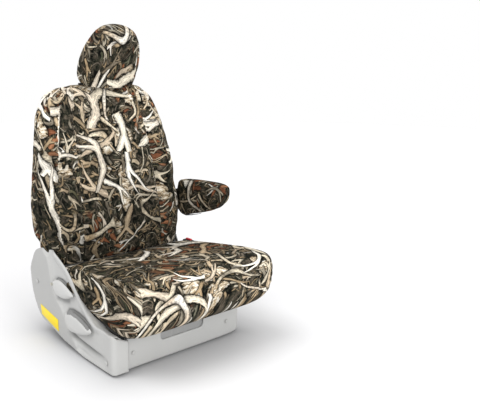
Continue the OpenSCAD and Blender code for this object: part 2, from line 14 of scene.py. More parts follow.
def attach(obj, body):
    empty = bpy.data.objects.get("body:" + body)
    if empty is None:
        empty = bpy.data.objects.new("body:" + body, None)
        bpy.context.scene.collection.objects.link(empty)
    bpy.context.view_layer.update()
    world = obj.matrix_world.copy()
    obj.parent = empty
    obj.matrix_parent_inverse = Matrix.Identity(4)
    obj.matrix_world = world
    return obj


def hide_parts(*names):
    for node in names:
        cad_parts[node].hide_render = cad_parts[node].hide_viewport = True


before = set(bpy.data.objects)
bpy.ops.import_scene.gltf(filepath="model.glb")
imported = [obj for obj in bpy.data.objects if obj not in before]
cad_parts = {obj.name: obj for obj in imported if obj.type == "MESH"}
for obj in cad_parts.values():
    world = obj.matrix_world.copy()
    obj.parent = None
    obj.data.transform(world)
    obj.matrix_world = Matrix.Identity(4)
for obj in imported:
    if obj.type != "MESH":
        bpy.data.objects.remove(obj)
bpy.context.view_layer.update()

MM = 0.001

# ---------------------------------------------------------------- shape numbers, in millimetres

CUSHION_X = 18.0
CUSHION_HALF = 306.0
CUSHION_FRONT = -362.0
CUSHION_TOP = 295.0
CUSHION_TILT = 0.13
CUSHION_SQUARE = 9.0
BACK_HALF = 294.0
BACK_TOP = 884.0
BACK_SQUARE = 5.6
HEAD_HALF = 122.0
HEAD_TOP = 1096.0
HEAD_SQUARE = 3.0
ARM_MID = 332.0
ARM_HALF = 34.0
ARM_SQUARE = 3.4
FABRIC_WALL = 3.0
FOAM_GAP = 6.5
TRIM_X = 292.0
TRIM_WALL = 3.0
SHIELD_INNER = -287.0
SKIRT_GAP = 7.0

# Rows: height at Y = 0, half width, front, rear, slope in Y
CUSHION_ROWS = [
    [CUSHION_TOP - 129, CUSHION_HALF - 34, CUSHION_FRONT + 120, 108, 0.20],
    [CUSHION_TOP - 114, CUSHION_HALF - 14, CUSHION_FRONT + 58, 116, 0.14],
    [CUSHION_TOP - 90, CUSHION_HALF - 2, CUSHION_FRONT + 16, 120, 0.06],
    [CUSHION_TOP - 60, CUSHION_HALF, CUSHION_FRONT, 121, -0.02],
    [CUSHION_TOP - 32, CUSHION_HALF - 2, CUSHION_FRONT + 3, 114, -0.09],
    [CUSHION_TOP - 12, CUSHION_HALF - 18, CUSHION_FRONT + 24, 96, 0.01 - CUSHION_TILT],
    [CUSHION_TOP, CUSHION_HALF - 62, CUSHION_FRONT + 72, 50, -CUSHION_TILT],
]
BACK_ROWS = [
    [272, BACK_HALF - 20, 109, 244, 0],
    [320, BACK_HALF - 8, 100, 278, 0],
    [400, BACK_HALF, 102, 308, 0],
    [490, BACK_HALF - 1, 118, 320, 0],
    [600, BACK_HALF - 18, 138, 318, 0],
    [708, BACK_HALF - 34, 166, 322, 0],
    [790, BACK_HALF - 52, 194, 326, 0],
    [848, BACK_HALF - 84, 208, 314, 0],
    [BACK_TOP, BACK_HALF - 140, 224, 288, 0],
]
HEAD_ROWS = [
    [HEAD_TOP - 273, HEAD_HALF - 16, 159, 262, 0.30],
    [HEAD_TOP - 211, HEAD_HALF - 5, 151, 266, 0.14],
    [HEAD_TOP - 160, HEAD_HALF, 138, 255, 0.06],
    [HEAD_TOP - 114, HEAD_HALF - 2, 127, 241, 0],
    [HEAD_TOP - 80, HEAD_HALF - 11, 117, 225, 0],
    [HEAD_TOP - 50, HEAD_HALF - 26, 112, 208, 0],
    [HEAD_TOP - 24, HEAD_HALF - 45, 116, 192, 0],
    [HEAD_TOP - 6, HEAD_HALF - 72, 131, 179, 0],
    [HEAD_TOP, HEAD_HALF - 92, 143, 168, 0],
]
# Rows: Y, half width, underside, top
ARM_ROWS = [
    [168, ARM_HALF - 3, 374, 508],
    [130, ARM_HALF, 366, 515],
    [60, ARM_HALF, 384, 520],
    [0, ARM_HALF, 402, 522],
    [-46, ARM_HALF - 2, 424, 522],
    [-76, ARM_HALF - 9, 448, 518],
    [-93, ARM_HALF - 22, 474, 510],
]
# Outlines on the side of the seat: Y, Z
SHIELD_REAR = [(60, 22), (160, 46), (229, 68), (278, 140), (294, 226)]
SHIELD_TOP = [(292, 236), (258, 296), (222, 317), (170, 328), (121, 324)]
SHIELD_FRONT = [(112, 320), (64, 297), (27, 273), (-15, 233), (-60, 187), (-100, 157),
                (-134, 140)]
SHIELD_RIDGE = [(200, 345), (190, 316), (164, 298), (152, 270), (145, 240), (133, 206),
                (121, 179), (102, 158), (75, 138), (55, 116), (46, 92), (32, 72), (12, 58),
                (-20, 30)]
SHIELD_CREASE = [(40, 68), (8, 60), (-31, 54), (-78, 49), (-130, 45), (-180, 44), (-290, 44)]


# ---------------------------------------------------------------- numbers and curves

def smooth(t):
    """Eased step from 0 to 1."""
    t = np.clip(t, 0.0, 1.0)
    return t * t * (3 - 2 * t)


def refine(rows, steps):
    """Catmull-Rom curve through rows, with a whole number of steps between each two."""
    rows = np.array(rows, float)
    last = len(rows) - 1
    out = []
    for i in range(last):
        a, b, c, d = rows[max(i - 1, 0)], rows[i], rows[i + 1], rows[min(i + 2, last)]
        for k in range(steps):
            t = k / steps
            out.append(0.5 * (2 * b + (c - a) * t + (2 * a - 5 * b + 4 * c - d) * t * t
                              + (3 * b - a - 3 * c + d) * t ** 3))
    out.append(rows[-1])
    return np.array(out)


def resample(points, spacing, closed=False):
    """Points at an even distance along a polyline."""
    p = np.array(points, float)
    if closed:
        p = np.vstack([p, p[:1]])
    lengths = np.r_[0, np.cumsum(np.linalg.norm(np.diff(p, axis=0), axis=1))]
    count = max(2, int(round(lengths[-1] / spacing)) + (0 if closed else 1))
    at = np.linspace(0, lengths[-1], count, endpoint=not closed)
    return np.stack([np.interp(at, lengths, p[:, k]) for k in range(p.shape[1])], axis=1)


def oval(square, count):
    """Unit superellipse as points an even distance apart."""
    t = np.linspace(0, 2 * np.pi, 3001)[:-1]
    c, s = np.cos(t), np.sin(t)
    p = np.stack([np.sign(c) * np.abs(c) ** (2 / square),
                  np.sign(s) * np.abs(s) ** (2 / square)], axis=1)
    p = np.vstack([p, p[:1]])
    lengths = np.r_[0, np.cumsum(np.linalg.norm(np.diff(p, axis=0), axis=1))]
    at = np.linspace(0, lengths[-1], count, endpoint=False)
    return np.stack([np.interp(at, lengths, p[:, k]) for k in range(2)], axis=1)


def row_at(rows, height):
    """Half width, front and rear of level rows at the given heights."""
    rows = np.array(rows, float)
    order = np.argsort(rows[:, 0])
    return [np.interp(height, rows[order, 0], rows[order, k]) for k in (1, 2, 3)]


def around(points, rows, square, x0=0.0):
    """Distance round a level ring from its middle front, positive towards +X."""
    half, front, rear = row_at(rows, points[:, 2])
    u = (points[:, 0] - x0) / half
    v = (points[:, 1] - (front + rear) / 2) / ((rear - front) / 2)
    wide, deep = half.mean(), (rear - front).mean() / 2
    unit = oval(square, 720)
    angle = np.arctan2(unit[:, 0], -unit[:, 1])
    order = np.argsort(angle)
    ring = unit[order] * (wide, deep)
    run = np.r_[0, np.cumsum(np.linalg.norm(np.diff(ring, axis=0), axis=1))]
    run -= np.interp(0.0, angle[order], run)
    return np.interp(np.arctan2(u, -v), angle[order], run) * half / wide


def climb(points, rows, behind=False):
    """Distance up the front (or rear) profile of level rows, carried on over their top."""
    rows = np.array(rows, float)
    column = 3 if behind else 2
    run = np.r_[0, np.cumsum(np.hypot(np.diff(rows[:, 0]), np.diff(rows[:, column])))]
    edge = row_at(rows, points[:, 2])[column - 1]
    over = smooth((points[:, 2] - rows[-1, 0] + 34) / 26)
    return np.interp(points[:, 2], rows[:, 0], run) + over * np.abs(points[:, 1] - edge)


def inset(rows, d):
    """Rows drawn in by a distance all over."""
    rows = np.array(rows, float)
    out = rows.copy()
    last = len(rows) - 1
    for i, r in enumerate(rows):
        a, b = rows[max(i - 1, 0)], rows[min(i + 1, last)]
        across, along = b[1] - a[1], abs(b[0] - a[0])
        size = math.hypot(across, along)
        v = (0, 1) if i == last else (1, 0) if i == 0 else (along / size, -across / size)
        step = np.sign(rows[1][0] - rows[0][0])
        out[i, :4] = [r[0] - step * d * v[1], r[1] - d * v[0], r[2] + d * v[0], r[3] - d * v[0]]
    return out


def level_rings(rows, count, square, x0=0.0):
    """Level rings for the cushion, backrest and headrest."""
    unit = oval(square, count)
    rings = []
    for r in rows:
        y = (r[2] + r[3]) / 2 + unit[:, 1] * (r[3] - r[2]) / 2
        rings.append(np.stack([x0 + unit[:, 0] * r[1], y, r[0] + r[4] * y], axis=1))
    return rings


def cross_rings(rows, count, square):
    """Upright rings across the armrest."""
    unit = oval(square, count)
    return [np.stack([ARM_MID + unit[:, 0] * r[1], np.full(count, r[0]),
                      (r[2] + r[3]) / 2 + unit[:, 1] * (r[3] - r[2]) / 2], axis=1) for r in rows]


# ---------------------------------------------------------------- meshes

def new_object(name, points, faces, material, smooth_shade=True):
    """Object from points in millimetres."""
    mesh = bpy.data.meshes.new(name)
    mesh.from_pydata([tuple(p) for p in np.asarray(points, float) * MM], [],
                     [tuple(int(i) for i in f) for f in faces])
    mesh.validate()
    obj = bpy.data.objects.new(name, mesh)
    bpy.context.scene.collection.objects.link(obj)
    mesh.materials.append(material)
    if smooth_shade:
        mesh.polygons.foreach_set("use_smooth", [True] * len(mesh.polygons))
    mesh.update()
    return obj


def points_of(obj):
    """Vertex positions in millimetres."""
    co = np.zeros(len(obj.data.vertices) * 3)
    obj.data.vertices.foreach_get("co", co)
    return co.reshape(-1, 3) / MM


def set_points(obj, points):
    obj.data.vertices.foreach_set("co", (points * MM).ravel())
    obj.data.update()


def normals_of(obj):
    n = np.zeros(len(obj.data.vertices) * 3)
    obj.data.vertices.foreach_get("normal", n)
    return n.reshape(-1, 3)


def bake_modifiers(obj):
    """Applies the object's modifiers to its mesh."""
    graph = bpy.context.evaluated_depsgraph_get()
    graph.update()
    mesh = bpy.data.meshes.new_from_object(obj.evaluated_get(graph))
    old = obj.data
    obj.modifiers.clear()
    obj.data = mesh
    mesh.name = old.name
    bpy.data.meshes.remove(old)
    return obj


def closed_loft(rings, crown=0.0, cap_steps=8):
    """Points and faces of rings closed at both ends; the last end is crowned outwards."""
    n = len(rings[0])
    all_rings = []
    first_mid = rings[0].mean(0)
    for k in range(cap_steps - 1, 0, -1):
        all_rings.append(first_mid + (rings[0] - first_mid) * (1 - k / cap_steps))
    all_rings += list(rings)
    last_mid = rings[-1].mean(0)
    outward = last_mid - rings[-2].mean(0)
    outward /= np.linalg.norm(outward)
    for k in range(1, cap_steps):
        s = 1 - k / cap_steps
        all_rings.append(last_mid + (rings[-1] - last_mid) * s + outward * crown * (1 - s * s))
    points = np.vstack(all_rings + [first_mid[None], (last_mid + outward * crown)[None]])
    m = len(all_rings)
    faces = [(k * n + i, k * n + (i + 1) % n, (k + 1) * n + (i + 1) % n, (k + 1) * n + i)
             for k in range(m - 1) for i in range(n)]
    start, end = m * n, m * n + 1
    faces += [(start, (i + 1) % n, i) for i in range(n)]
    faces += [(end, (m - 1) * n + i, (m - 1) * n + (i + 1) % n) for i in range(n)]
    return points, faces


def tube(name, path, radius, material, closed=False, sides=10, flat=1.0, up=(0, 0, 1)):
    """Round or flattened tube along a path."""
    p = np.array(path, float)
    ahead = np.roll(p, -1, 0) - np.roll(p, 1, 0) if closed else np.gradient(p, axis=0)
    ahead /= np.linalg.norm(ahead, axis=1)[:, None] + 1e-9
    side = np.cross(ahead, np.array(up, float))
    weak = np.linalg.norm(side, axis=1) < 0.05
    side[weak] = np.cross(ahead[weak], (1.0, 0.3, 0.0))
    side /= np.linalg.norm(side, axis=1)[:, None]
    over = np.cross(side, ahead)
    a = np.linspace(0, 2 * np.pi, sides, endpoint=False)
    rings = [q + radius * (np.cos(a)[:, None] * s + flat * np.sin(a)[:, None] * o)
             for q, s, o in zip(p, side, over)]
    m = len(rings)
    points = np.vstack(rings)
    faces = [((k % m) * sides + i, (k % m) * sides + (i + 1) % sides,
              ((k + 1) % m) * sides + (i + 1) % sides, ((k + 1) % m) * sides + i)
             for k in range(m if closed else m - 1) for i in range(sides)]
    if not closed:
        faces += [tuple(range(sides))[::-1], tuple((m - 1) * sides + i for i in range(sides))]
    return new_object(name, points, faces, material)


def segment_distance(points, line):
    """Distance from points to a polyline in 2D, and the signed side (positive on its left)."""
    best = np.full(len(points), 1e9)
    side = np.zeros(len(points))
    line = np.array(line, float)
    for a, b in zip(line[:-1], line[1:]):
        d = b - a
        t = np.clip(((points - a) @ d) / (d @ d), 0, 1)
        off = points - (a + t[:, None] * d)
        dist = np.hypot(off[:, 0], off[:, 1])
        near = dist < best
        best[near] = dist[near]
        side[near] = np.sign(d[0] * off[near, 1] - d[1] * off[near, 0])
    return best, side


def inside(points, outline):
    """Which 2D points are inside a closed outline."""
    x, y = points[:, 0], points[:, 1]
    hit = np.zeros(len(points), bool)
    poly = np.array(outline, float)
    for (x1, y1), (x2, y2) in zip(poly, np.roll(poly, -1, 0)):
        if y1 == y2:
            continue
        crosses = (y1 > y) != (y2 > y)
        hit ^= crosses & (x < (x2 - x1) * (y - y1) / (y2 - y1) + x1)
    return hit


def pressed_sheet(name, outline, spacing, height, place, wall, edge, material):
    """Moulded sheet over a 2D outline.

    height(points) gives how far each point stands out, place(points, out) puts it in 3D, edge is
    the radius of the rolled rim, and wall the thickness.
    """
    rim = resample(outline, spacing, closed=True)
    low, high = rim.min(0), rim.max(0)
    xs = np.arange(low[0], high[0], spacing)
    ys = np.arange(low[1], high[1], spacing * 0.87)
    grid = np.array([(x + (spacing / 2 if k % 2 else 0), y) for k, y in enumerate(ys) for x in xs])
    grid = grid[inside(grid, rim)]
    closed_rim = np.vstack([rim, rim[:1]])
    d, _ = segment_distance(grid, closed_rim)
    grid = grid[d > spacing * 0.55]
    flat = np.vstack([rim, grid])
    n = len(rim)
    edges = [(i, (i + 1) % n) for i in range(n)]
    out = geometry.delaunay_2d_cdt([Vector(p) for p in flat], edges, [], 1, 1e-5)
    flat = np.array([tuple(v) for v in out[0]])
    faces = [tuple(f) for f in out[2]]
    d, _ = segment_distance(flat, closed_rim)
    roll = np.clip(edge - d, 0, edge)
    h = height(flat) - (edge - np.sqrt(np.maximum(edge ** 2 - roll ** 2, 0)))
    front, rear = place(flat, h), place(flat, h - wall)
    count = {}
    for f in faces:
        for a, b in zip(f, f[1:] + f[:1]):
            key = (min(a, b), max(a, b))
            count.setdefault(key, []).append((a, b))
    m = len(flat)
    all_faces = faces + [tuple(m + i for i in reversed(f)) for f in faces]
    all_faces += [(b, a, m + a, m + b) for uses in count.values() if len(uses) == 1
                  for a, b in uses]
    obj = new_object(name, np.vstack([front, rear]), all_faces, material)
    work = bmesh.new()
    work.from_mesh(obj.data)
    bmesh.ops.recalc_face_normals(work, faces=work.faces)
    work.to_mesh(obj.data)
    work.free()
    soften_shading(obj, 50)
    return obj


def soften_shading(obj, angle):
    """Smooth shading with creases sharper than an angle, in degrees."""
    work = bmesh.new()
    work.from_mesh(obj.data)
    for e in work.edges:
        e.smooth = len(e.link_faces) == 2 and e.calc_face_angle(0) < math.radians(angle)
    for f in work.faces:
        f.smooth = True
    work.to_mesh(obj.data)
    work.free()


def rounded_copy(name, node, material, radius, segments=3):
    """Copy of a CAD node's shape with its edges rounded."""
    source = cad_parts[node]
    obj = bpy.data.objects.new(name, source.data.copy())
    bpy.context.scene.collection.objects.link(obj)
    obj.data.materials.clear()
    obj.data.materials.append(material)
    work = bmesh.new()
    work.from_mesh(obj.data)
    bmesh.ops.remove_doubles(work, verts=work.verts, dist=2e-5)
    bmesh.ops.dissolve_limit(work, angle_limit=math.radians(2), verts=work.verts, edges=work.edges)
    sharp = [e for e in work.edges if len(e.link_faces) == 2
             and e.calc_face_angle(0) > math.radians(35)]
    bmesh.ops.bevel(work, geom=sharp, offset=radius * MM, segments=segments, profile=0.5,
                    affect="EDGES", clamp_overlap=True)
    bmesh.ops.triangulate(work, faces=work.faces)
    work.to_mesh(obj.data)
    work.free()
    soften_shading(obj, 40)
    return obj


# ---------------------------------------------------------------- node networks

def tone(r, g, b):
    """Linear colour from 0 to 255 screen values."""
    def line(v):
        v /= 255
        return v / 12.92 if v <= 0.04045 else ((v + 0.055) / 1.055) ** 2.4
    return (line(r), line(g), line(b), 1.0)


class Net:
    """A material's node network, written as nested calls."""

    def __init__(self, name):
        self.material = bpy.data.materials.new(name)
        self.material.use_nodes = True
        self.tree = self.material.node_tree
        self.shader = self.tree.nodes["Principled BSDF"]

    def feed(self, socket, value):
        if hasattr(value, "is_output"):
            self.tree.links.new(value, socket)
        elif value is not None:
            socket.default_value = value

    def add(self, kind, inputs=(), out=0, **settings):
        node = self.tree.nodes.new(kind)
        for key, value in settings.items():
            setattr(node, key, value)
        pairs = inputs.items() if isinstance(inputs, dict) else enumerate(inputs)
        for key, value in pairs:
            self.feed(node.inputs[key], value)
        return node.outputs[out]

    def maths(self, operation, *values, clamp=False):
        return self.add("ShaderNodeMath", values, operation=operation, use_clamp=clamp)

    def vector(self, operation, *values, out=0):
        return self.add("ShaderNodeVectorMath", values, out, operation=operation)

    def noise(self, at, scale, detail=2.0, rough=0.5, out=0, distortion=0.0):
        return self.add("ShaderNodeTexNoise", {"Vector": at, "Scale": scale, "Detail": detail,
                                               "Roughness": rough, "Distortion": distortion}, out)

    def remap(self, value, a, b, c=0.0, d=1.0, kind="SMOOTHSTEP"):
        return self.add("ShaderNodeMapRange", {"Value": value, "From Min": a, "From Max": b,
                                               "To Min": c, "To Max": d}, interpolation_type=kind)

    def mix(self, share, a, b, blend="MIX"):
        node = self.tree.nodes.new("ShaderNodeMix")
        node.data_type, node.blend_type = "RGBA", blend
        self.feed(node.inputs[0], share)
        self.feed(node.inputs[6], a)
        self.feed(node.inputs[7], b)
        return node.outputs[2]

    def ramp(self, value, stops, kind="LINEAR"):
        node = self.tree.nodes.new("ShaderNodeValToRGB")
        node.color_ramp.interpolation = kind
        while len(node.color_ramp.elements) < len(stops):
            node.color_ramp.elements.new(1.0)
        for element, (place, colour) in zip(node.color_ramp.elements, stops):
            element.position, element.color = place, colour
        self.feed(node.inputs[0], value)
        return node.outputs[0]

    def split(self, vector):
        node = self.tree.nodes.new("ShaderNodeSeparateXYZ")
        self.feed(node.inputs[0], vector)
        return node.outputs

    def bump(self, height, strength, distance, normal=None):
        return self.add("ShaderNodeBump", {"Height": height, "Strength": strength,
                                           "Distance": distance, "Normal": normal})

    def surface(self, colour, rough, normal=None, **constants):
        self.feed(self.shader.inputs["Base Color"], colour)
        self.feed(self.shader.inputs["Roughness"], rough)
        self.feed(self.shader.inputs["Normal"], normal)
        for key, value in constants.items():
            self.shader.inputs[key.replace("_", " ")].default_value = value
        return self.material


BLACK = tone(13, 14, 12)
IVORY = tone(251, 246, 234)
BONE = tone(222, 210, 186)
TAN = tone(182, 158, 124)
DRAB = tone(120, 112, 98)
BARK = tone(78, 70, 60)
OLIVE = tone(84, 88, 70)
RUST = tone(150, 96, 68)
UMBER = tone(90, 62, 48)


def stick_layer(net, at, scale, width, length, bend, shift, stops, halo, gloom, keep=1.0,
                gap=None, fork=0.0, dim=1.0):
    """One scattered layer of curved, tapering sticks, one to a cell.

    Returns (mask, halo mask, colour). Width and length are half sizes in metres; keep is the share
    of cells that hold one; gap masks the layer away; fork splits the thin end in two; dim darkens
    a layer that lies deeper.
    """
    place = net.vector("ADD", at, shift)
    cell = net.tree.nodes.new("ShaderNodeTexVoronoi")
    cell.voronoi_dimensions = "2D"
    cell.inputs["Scale"].default_value = scale
    net.feed(cell.inputs["Vector"], place)
    dice = net.split(cell.outputs["Color"])
    local = net.vector("SUBTRACT", place, cell.outputs["Position"])
    turned = net.add("ShaderNodeVectorRotate",
                     {"Vector": local, "Angle": net.maths("MULTIPLY", dice[0], 2 * math.pi)},
                     rotation_type="Z_AXIS")
    part = net.split(turned)
    along = net.maths("MULTIPLY", part[0], 1 / length)
    square = net.maths("MULTIPLY", along, along)
    curl = net.maths("MULTIPLY", net.maths("SUBTRACT", dice[1], 0.5), 2 * bend * length)
    across = net.maths("SUBTRACT", part[1], net.maths("MULTIPLY", curl, square))
    if fork:
        split = net.maths("MULTIPLY", net.maths("MAXIMUM", along, 0.0),
                          net.maths("MULTIPLY", dice[2], fork * length))
        across = net.maths("SUBTRACT", net.maths("ABSOLUTE", across), split)
    size = net.maths("MULTIPLY_ADD", dice[2], 0.9 * width, 0.55 * width)
    ends = net.maths("SUBTRACT", 1.0, net.maths("MULTIPLY", square, square))
    taper = net.maths("MULTIPLY", net.maths("MAXIMUM", ends, 0.001),
                      net.maths("MULTIPLY_ADD", along, -0.42, 0.60))
    knobs = net.maths("MULTIPLY_ADD", net.noise(place, 85.0, 4.0, 0.65), 1.3, 0.35)
    half = net.maths("MULTIPLY", net.maths("MULTIPLY", size, taper), knobs)
    t = net.maths("DIVIDE", across, half)
    spread = net.maths("ABSOLUTE", t)
    mask = net.remap(spread, 0.8, 1.0, 1.0, 0.0)
    shade = net.remap(spread, 1.0, halo, 1.0, 0.0)
    there = net.maths("LESS_THAN", net.maths("FRACT", net.maths("MULTIPLY", dice[2], 7.31)), keep)
    if gap is not None:
        there = net.maths("MULTIPLY", there, gap)
    mask = net.maths("MULTIPLY", mask, there)
    shade = net.maths("MULTIPLY", shade, net.maths("MULTIPLY", there, gloom))
    grain_at = net.add("ShaderNodeCombineXYZ", [net.maths("MULTIPLY", part[0], 55.0),
                                                net.maths("MULTIPLY", across, 300.0), dice[0]])
    grain = net.remap(net.noise(grain_at, 1.0, 4.0, 0.68), 0.36, 0.60, 0.22, 1.0)
    colour = net.ramp(net.maths("FRACT", net.maths("MULTIPLY", dice[1], 5.7)), stops)
    lit = net.maths("SUBTRACT", 1.05, net.maths("MULTIPLY", net.maths("MULTIPLY", t, t), 0.66))
    lit = net.maths("SUBTRACT", lit, net.maths("MULTIPLY", t, 0.22))
    lit = net.maths("MULTIPLY", lit, net.maths("MULTIPLY_ADD", grain, 0.85 * dim, 0.32 * dim))
    colour = net.mix(1.0, colour, net.add("ShaderNodeCombineColor", [lit, lit, lit]), "MULTIPLY")
    return mask, shade, colour


def band_layer(net, at, scale, width, shift, stops, gap_scale, gap_low):
    """Long sweeping branches along the level lines of a smooth noise."""
    place = net.vector("ADD", at, shift)
    field = net.noise(place, scale, 0.0, distortion=0.6)
    thick = net.maths("MULTIPLY_ADD", net.noise(place, scale * 2.3, 1.0), width * 1.4, width * 0.3)
    t = net.maths("DIVIDE", net.maths("SUBTRACT", field, 0.5), thick)
    spread = net.maths("ABSOLUTE", t)
    gap = net.remap(net.noise(place, gap_scale, 0.0), gap_low, gap_low + 0.03)
    mask = net.maths("MULTIPLY", net.remap(spread, 0.82, 1.0, 1.0, 0.0), gap)
    shade = net.maths("MULTIPLY", net.remap(spread, 1.0, 2.2, 0.9, 0.0), gap)
    grain = net.remap(net.noise(place, 110.0, 5.0, 0.72), 0.36, 0.60)
    colour = net.ramp(net.noise(place, 9.0, 1.0), stops)
    lit = net.maths("SUBTRACT", 1.06, net.maths("MULTIPLY", net.maths("MULTIPLY", t, t), 0.66))
    lit = net.maths("SUBTRACT", lit, net.maths("MULTIPLY", t, 0.18))
    lit = net.maths("MULTIPLY", lit, net.maths("MULTIPLY_ADD", grain, 0.70, 0.46))
    colour = net.mix(1.0, colour, net.add("ShaderNodeCombineColor", [lit, lit, lit]), "MULTIPLY")
    return mask, shade, colour


def plate_layer(net, at, scale, reach, shift, gap):
    """Broad pale plates with ragged edges and dark cracks."""
    place = net.vector("ADD", at, shift)
    warp = net.vector("SUBTRACT", net.noise(place, 26.0, 3.0, 0.6, out=1), (0.5, 0.5, 0.5))
    place = net.vector("MULTIPLY_ADD", warp, (0.036, 0.036, 0.0), place)
    cell = net.tree.nodes.new("ShaderNodeTexVoronoi")
    cell.voronoi_dimensions = "2D"
    cell.inputs["Scale"].default_value = scale
    net.feed(cell.inputs["Vector"], place)
    far = net.maths("MULTIPLY", cell.outputs["Distance"], 1 / scale)
    dice = net.split(cell.outputs["Color"])
    size = net.maths("MULTIPLY_ADD", dice[0], reach * 0.7, reach * 0.5)
    t = net.maths("DIVIDE", far, size)
    mask = net.maths("MULTIPLY", net.remap(t, 0.9, 1.0, 1.0, 0.0), gap)
    shade = net.maths("MULTIPLY", net.remap(t, 1.0, 1.35, 0.95, 0.0), gap)
    streak = net.noise(net.vector("MULTIPLY", place, (1.0, 3.2, 1.0)), 36.0, 5.0, 0.7)
    colour = net.ramp(streak, [(0.34, BLACK), (0.42, BARK), (0.47, TAN), (0.53, BONE),
                               (0.62, IVORY), (1.0, IVORY)])
    lit = net.remap(t, 0.3, 1.0, 1.0, 0.62)
    colour = net.mix(1.0, colour, net.add("ShaderNodeCombineColor", [lit, lit, lit]), "MULTIPLY")
    return mask, shade, colour


def camo_fabric(name):
    """Printed polyester: pale branches and dry leaves over a dark ground, with a fine weave."""
    net = Net(name)
    at = net.add("ShaderNodeUVMap", uv_map="print")
    busy_and_painted_light = net.add("ShaderNodeAttribute", out=2, attribute_name="busy_and_painted_light")
    warp = net.vector("SUBTRACT", net.noise(at, 7.0, 1.0, out=1), (0.5, 0.5, 0.5))
    soft = net.vector("MULTIPLY_ADD", warp, (0.07, 0.07, 0.0), at)
    ground = net.ramp(net.noise(soft, 34.0, 5.0, 0.75), [
        (0.0, BLACK), (0.42, BLACK), (0.50, tone(46, 47, 38)), (0.58, BARK), (0.70, DRAB),
        (0.9, TAN)])
    warm = [(0.0, BARK), (0.3, DRAB), (0.55, TAN), (0.8, OLIVE), (1.0, BONE)]
    pale = [(0.0, TAN), (0.25, DRAB), (0.5, BONE), (0.75, TAN), (1.0, IVORY)]
    bright = [(0.0, BONE), (0.35, IVORY), (0.7, TAN), (1.0, IVORY)]
    rusty = [(0.0, UMBER), (0.4, RUST), (0.75, tone(176, 126, 92)), (1.0, UMBER)]
    rust_gap = net.remap(net.noise(soft, 4.2, 0.0), 0.57, 0.63)
    open_gap = net.remap(net.noise(net.vector("ADD", soft, (9.0, 4.0, 0)), 7.0, 1.0), 0.40, 0.47)
    dense_gap = net.remap(net.noise(net.vector("ADD", soft, (2.0, 7.0, 0)), 10.0, 1.0), 0.42, 0.48)
    plates = net.maths("ADD", net.noise(net.vector("ADD", soft, (5.0, 1.0, 0)), 4.6, 0.0),
                       net.maths("MULTIPLY_ADD", busy_and_painted_light, 0.34, -0.17))
    plate_gap = net.remap(plates, 0.56, 0.60)
    few = net.maths("MULTIPLY_ADD", busy_and_painted_light, 0.35, 0.35)
    some = net.maths("MULTIPLY_ADD", busy_and_painted_light, 0.30, 0.50)
    layers = [
        stick_layer(net, soft, 58.0, 0.0050, 0.013, 0.5, (0.3, 0.1, 0), warm, 1.6, 0.7, 0.85,
                    dense_gap, 0.0, 0.75),
        stick_layer(net, soft, 38.0, 0.0050, 0.022, 0.9, (1.3, 2.1, 0), warm, 1.7, 0.8, 0.8,
                    open_gap, 0.6, 0.85),
        stick_layer(net, soft, 20.0, 0.0150, 0.032, 0.4, (2.7, 0.6, 0), rusty, 1.4, 0.8, 1.0,
                    rust_gap, 0.0, 0.85),
        stick_layer(net, soft, 22.0, 0.0066, 0.038, 1.0, (4.1, 1.7, 0), pale, 1.8, 0.9, some,
                    dense_gap, 0.7, 0.85),
        plate_layer(net, soft, 11.0, 0.034, (1.1, 6.3, 0), plate_gap),
        stick_layer(net, soft, 15.0, 0.0096, 0.052, 1.0, (0.9, 3.3, 0), pale, 1.7, 0.95, some,
                    open_gap, 0.8, 0.95),
        stick_layer(net, soft, 10.5, 0.0125, 0.074, 1.1, (5.2, 4.4, 0), pale, 1.7, 0.95, few,
                    None, 0.9, 1.0),
        band_layer(net, soft, 4.2, 0.019, (6.1, 2.9, 0), pale, 5.4, 0.50),
        stick_layer(net, soft, 7.0, 0.0185, 0.110, 1.0, (7.7, 0.2, 0), bright, 1.6, 0.95, few,
                    None, 0.9, 1.05),
        stick_layer(net, soft, 4.8, 0.0250, 0.150, 1.1, (3.6, 8.8, 0), bright, 1.5, 0.95, few,
                    None, 0.8, 1.1),
        band_layer(net, soft, 2.8, 0.014, (8.2, 5.5, 0), bright, 3.8, 0.52),
    ]
    colour = ground
    for mask, shade, paint in layers:
        colour = net.mix(shade, colour, BLACK)
        colour = net.mix(mask, colour, paint)
    fleck = net.remap(net.noise(at, 330.0, 4.0, 0.75), 0.36, 0.68, 0.76, 1.14, "LINEAR")
    # painted light and shade: the print is made lighter high on the back and on the cushion's front,
    # darker low on the back, on the cushion top and on the armrest, besides a random tone and a fine
    # fleck
    fade = net.maths("MULTIPLY_ADD", net.noise(at, 3.0, 2.0), 0.3,
                     net.maths("MULTIPLY_ADD", busy_and_painted_light, 0.46, 0.66))
    fade = net.maths("MULTIPLY", fade, fleck)
    colour = net.mix(1.0, colour, net.add("ShaderNodeCombineColor", [fade, fade, fade]), "MULTIPLY")
    normal, threads = weave_bump(net, at, 620.0, 0.35, 0.0006)
    # painted shade: the print darkened a little in a checker that follows the weave bump
    colour = net.mix(net.maths("MULTIPLY", threads, 0.16), colour, BLACK)
    rough = net.maths("MULTIPLY_ADD", net.noise(at, 90.0, 2.0), 0.2, 0.7)
    return net.surface(colour, rough, normal, Specular_IOR_Level=0.03)


def weave_bump(net, at, scale, strength, distance):
    """Bump of a plain weave, and how deep each spot is between the threads, used for painted shade."""
    turns = scale * math.pi
    x, y, _ = net.split(net.vector("MULTIPLY", at, (turns, turns, turns)))
    over = net.maths("SINE", x)
    under = net.maths("SINE", y)
    both = net.maths("MULTIPLY", over, under)
    lumps = net.noise(at, 260.0, 2.0)
    height = net.maths("MULTIPLY_ADD", lumps, 0.8, both)
    return net.bump(height, strength, distance), net.remap(both, -1.0, 1.0, 0.0, 1.0, "LINEAR")


def object_at(net):
    """Position on the object at rest, in metres."""
    return net.add("ShaderNodeTexCoord", out="Object")


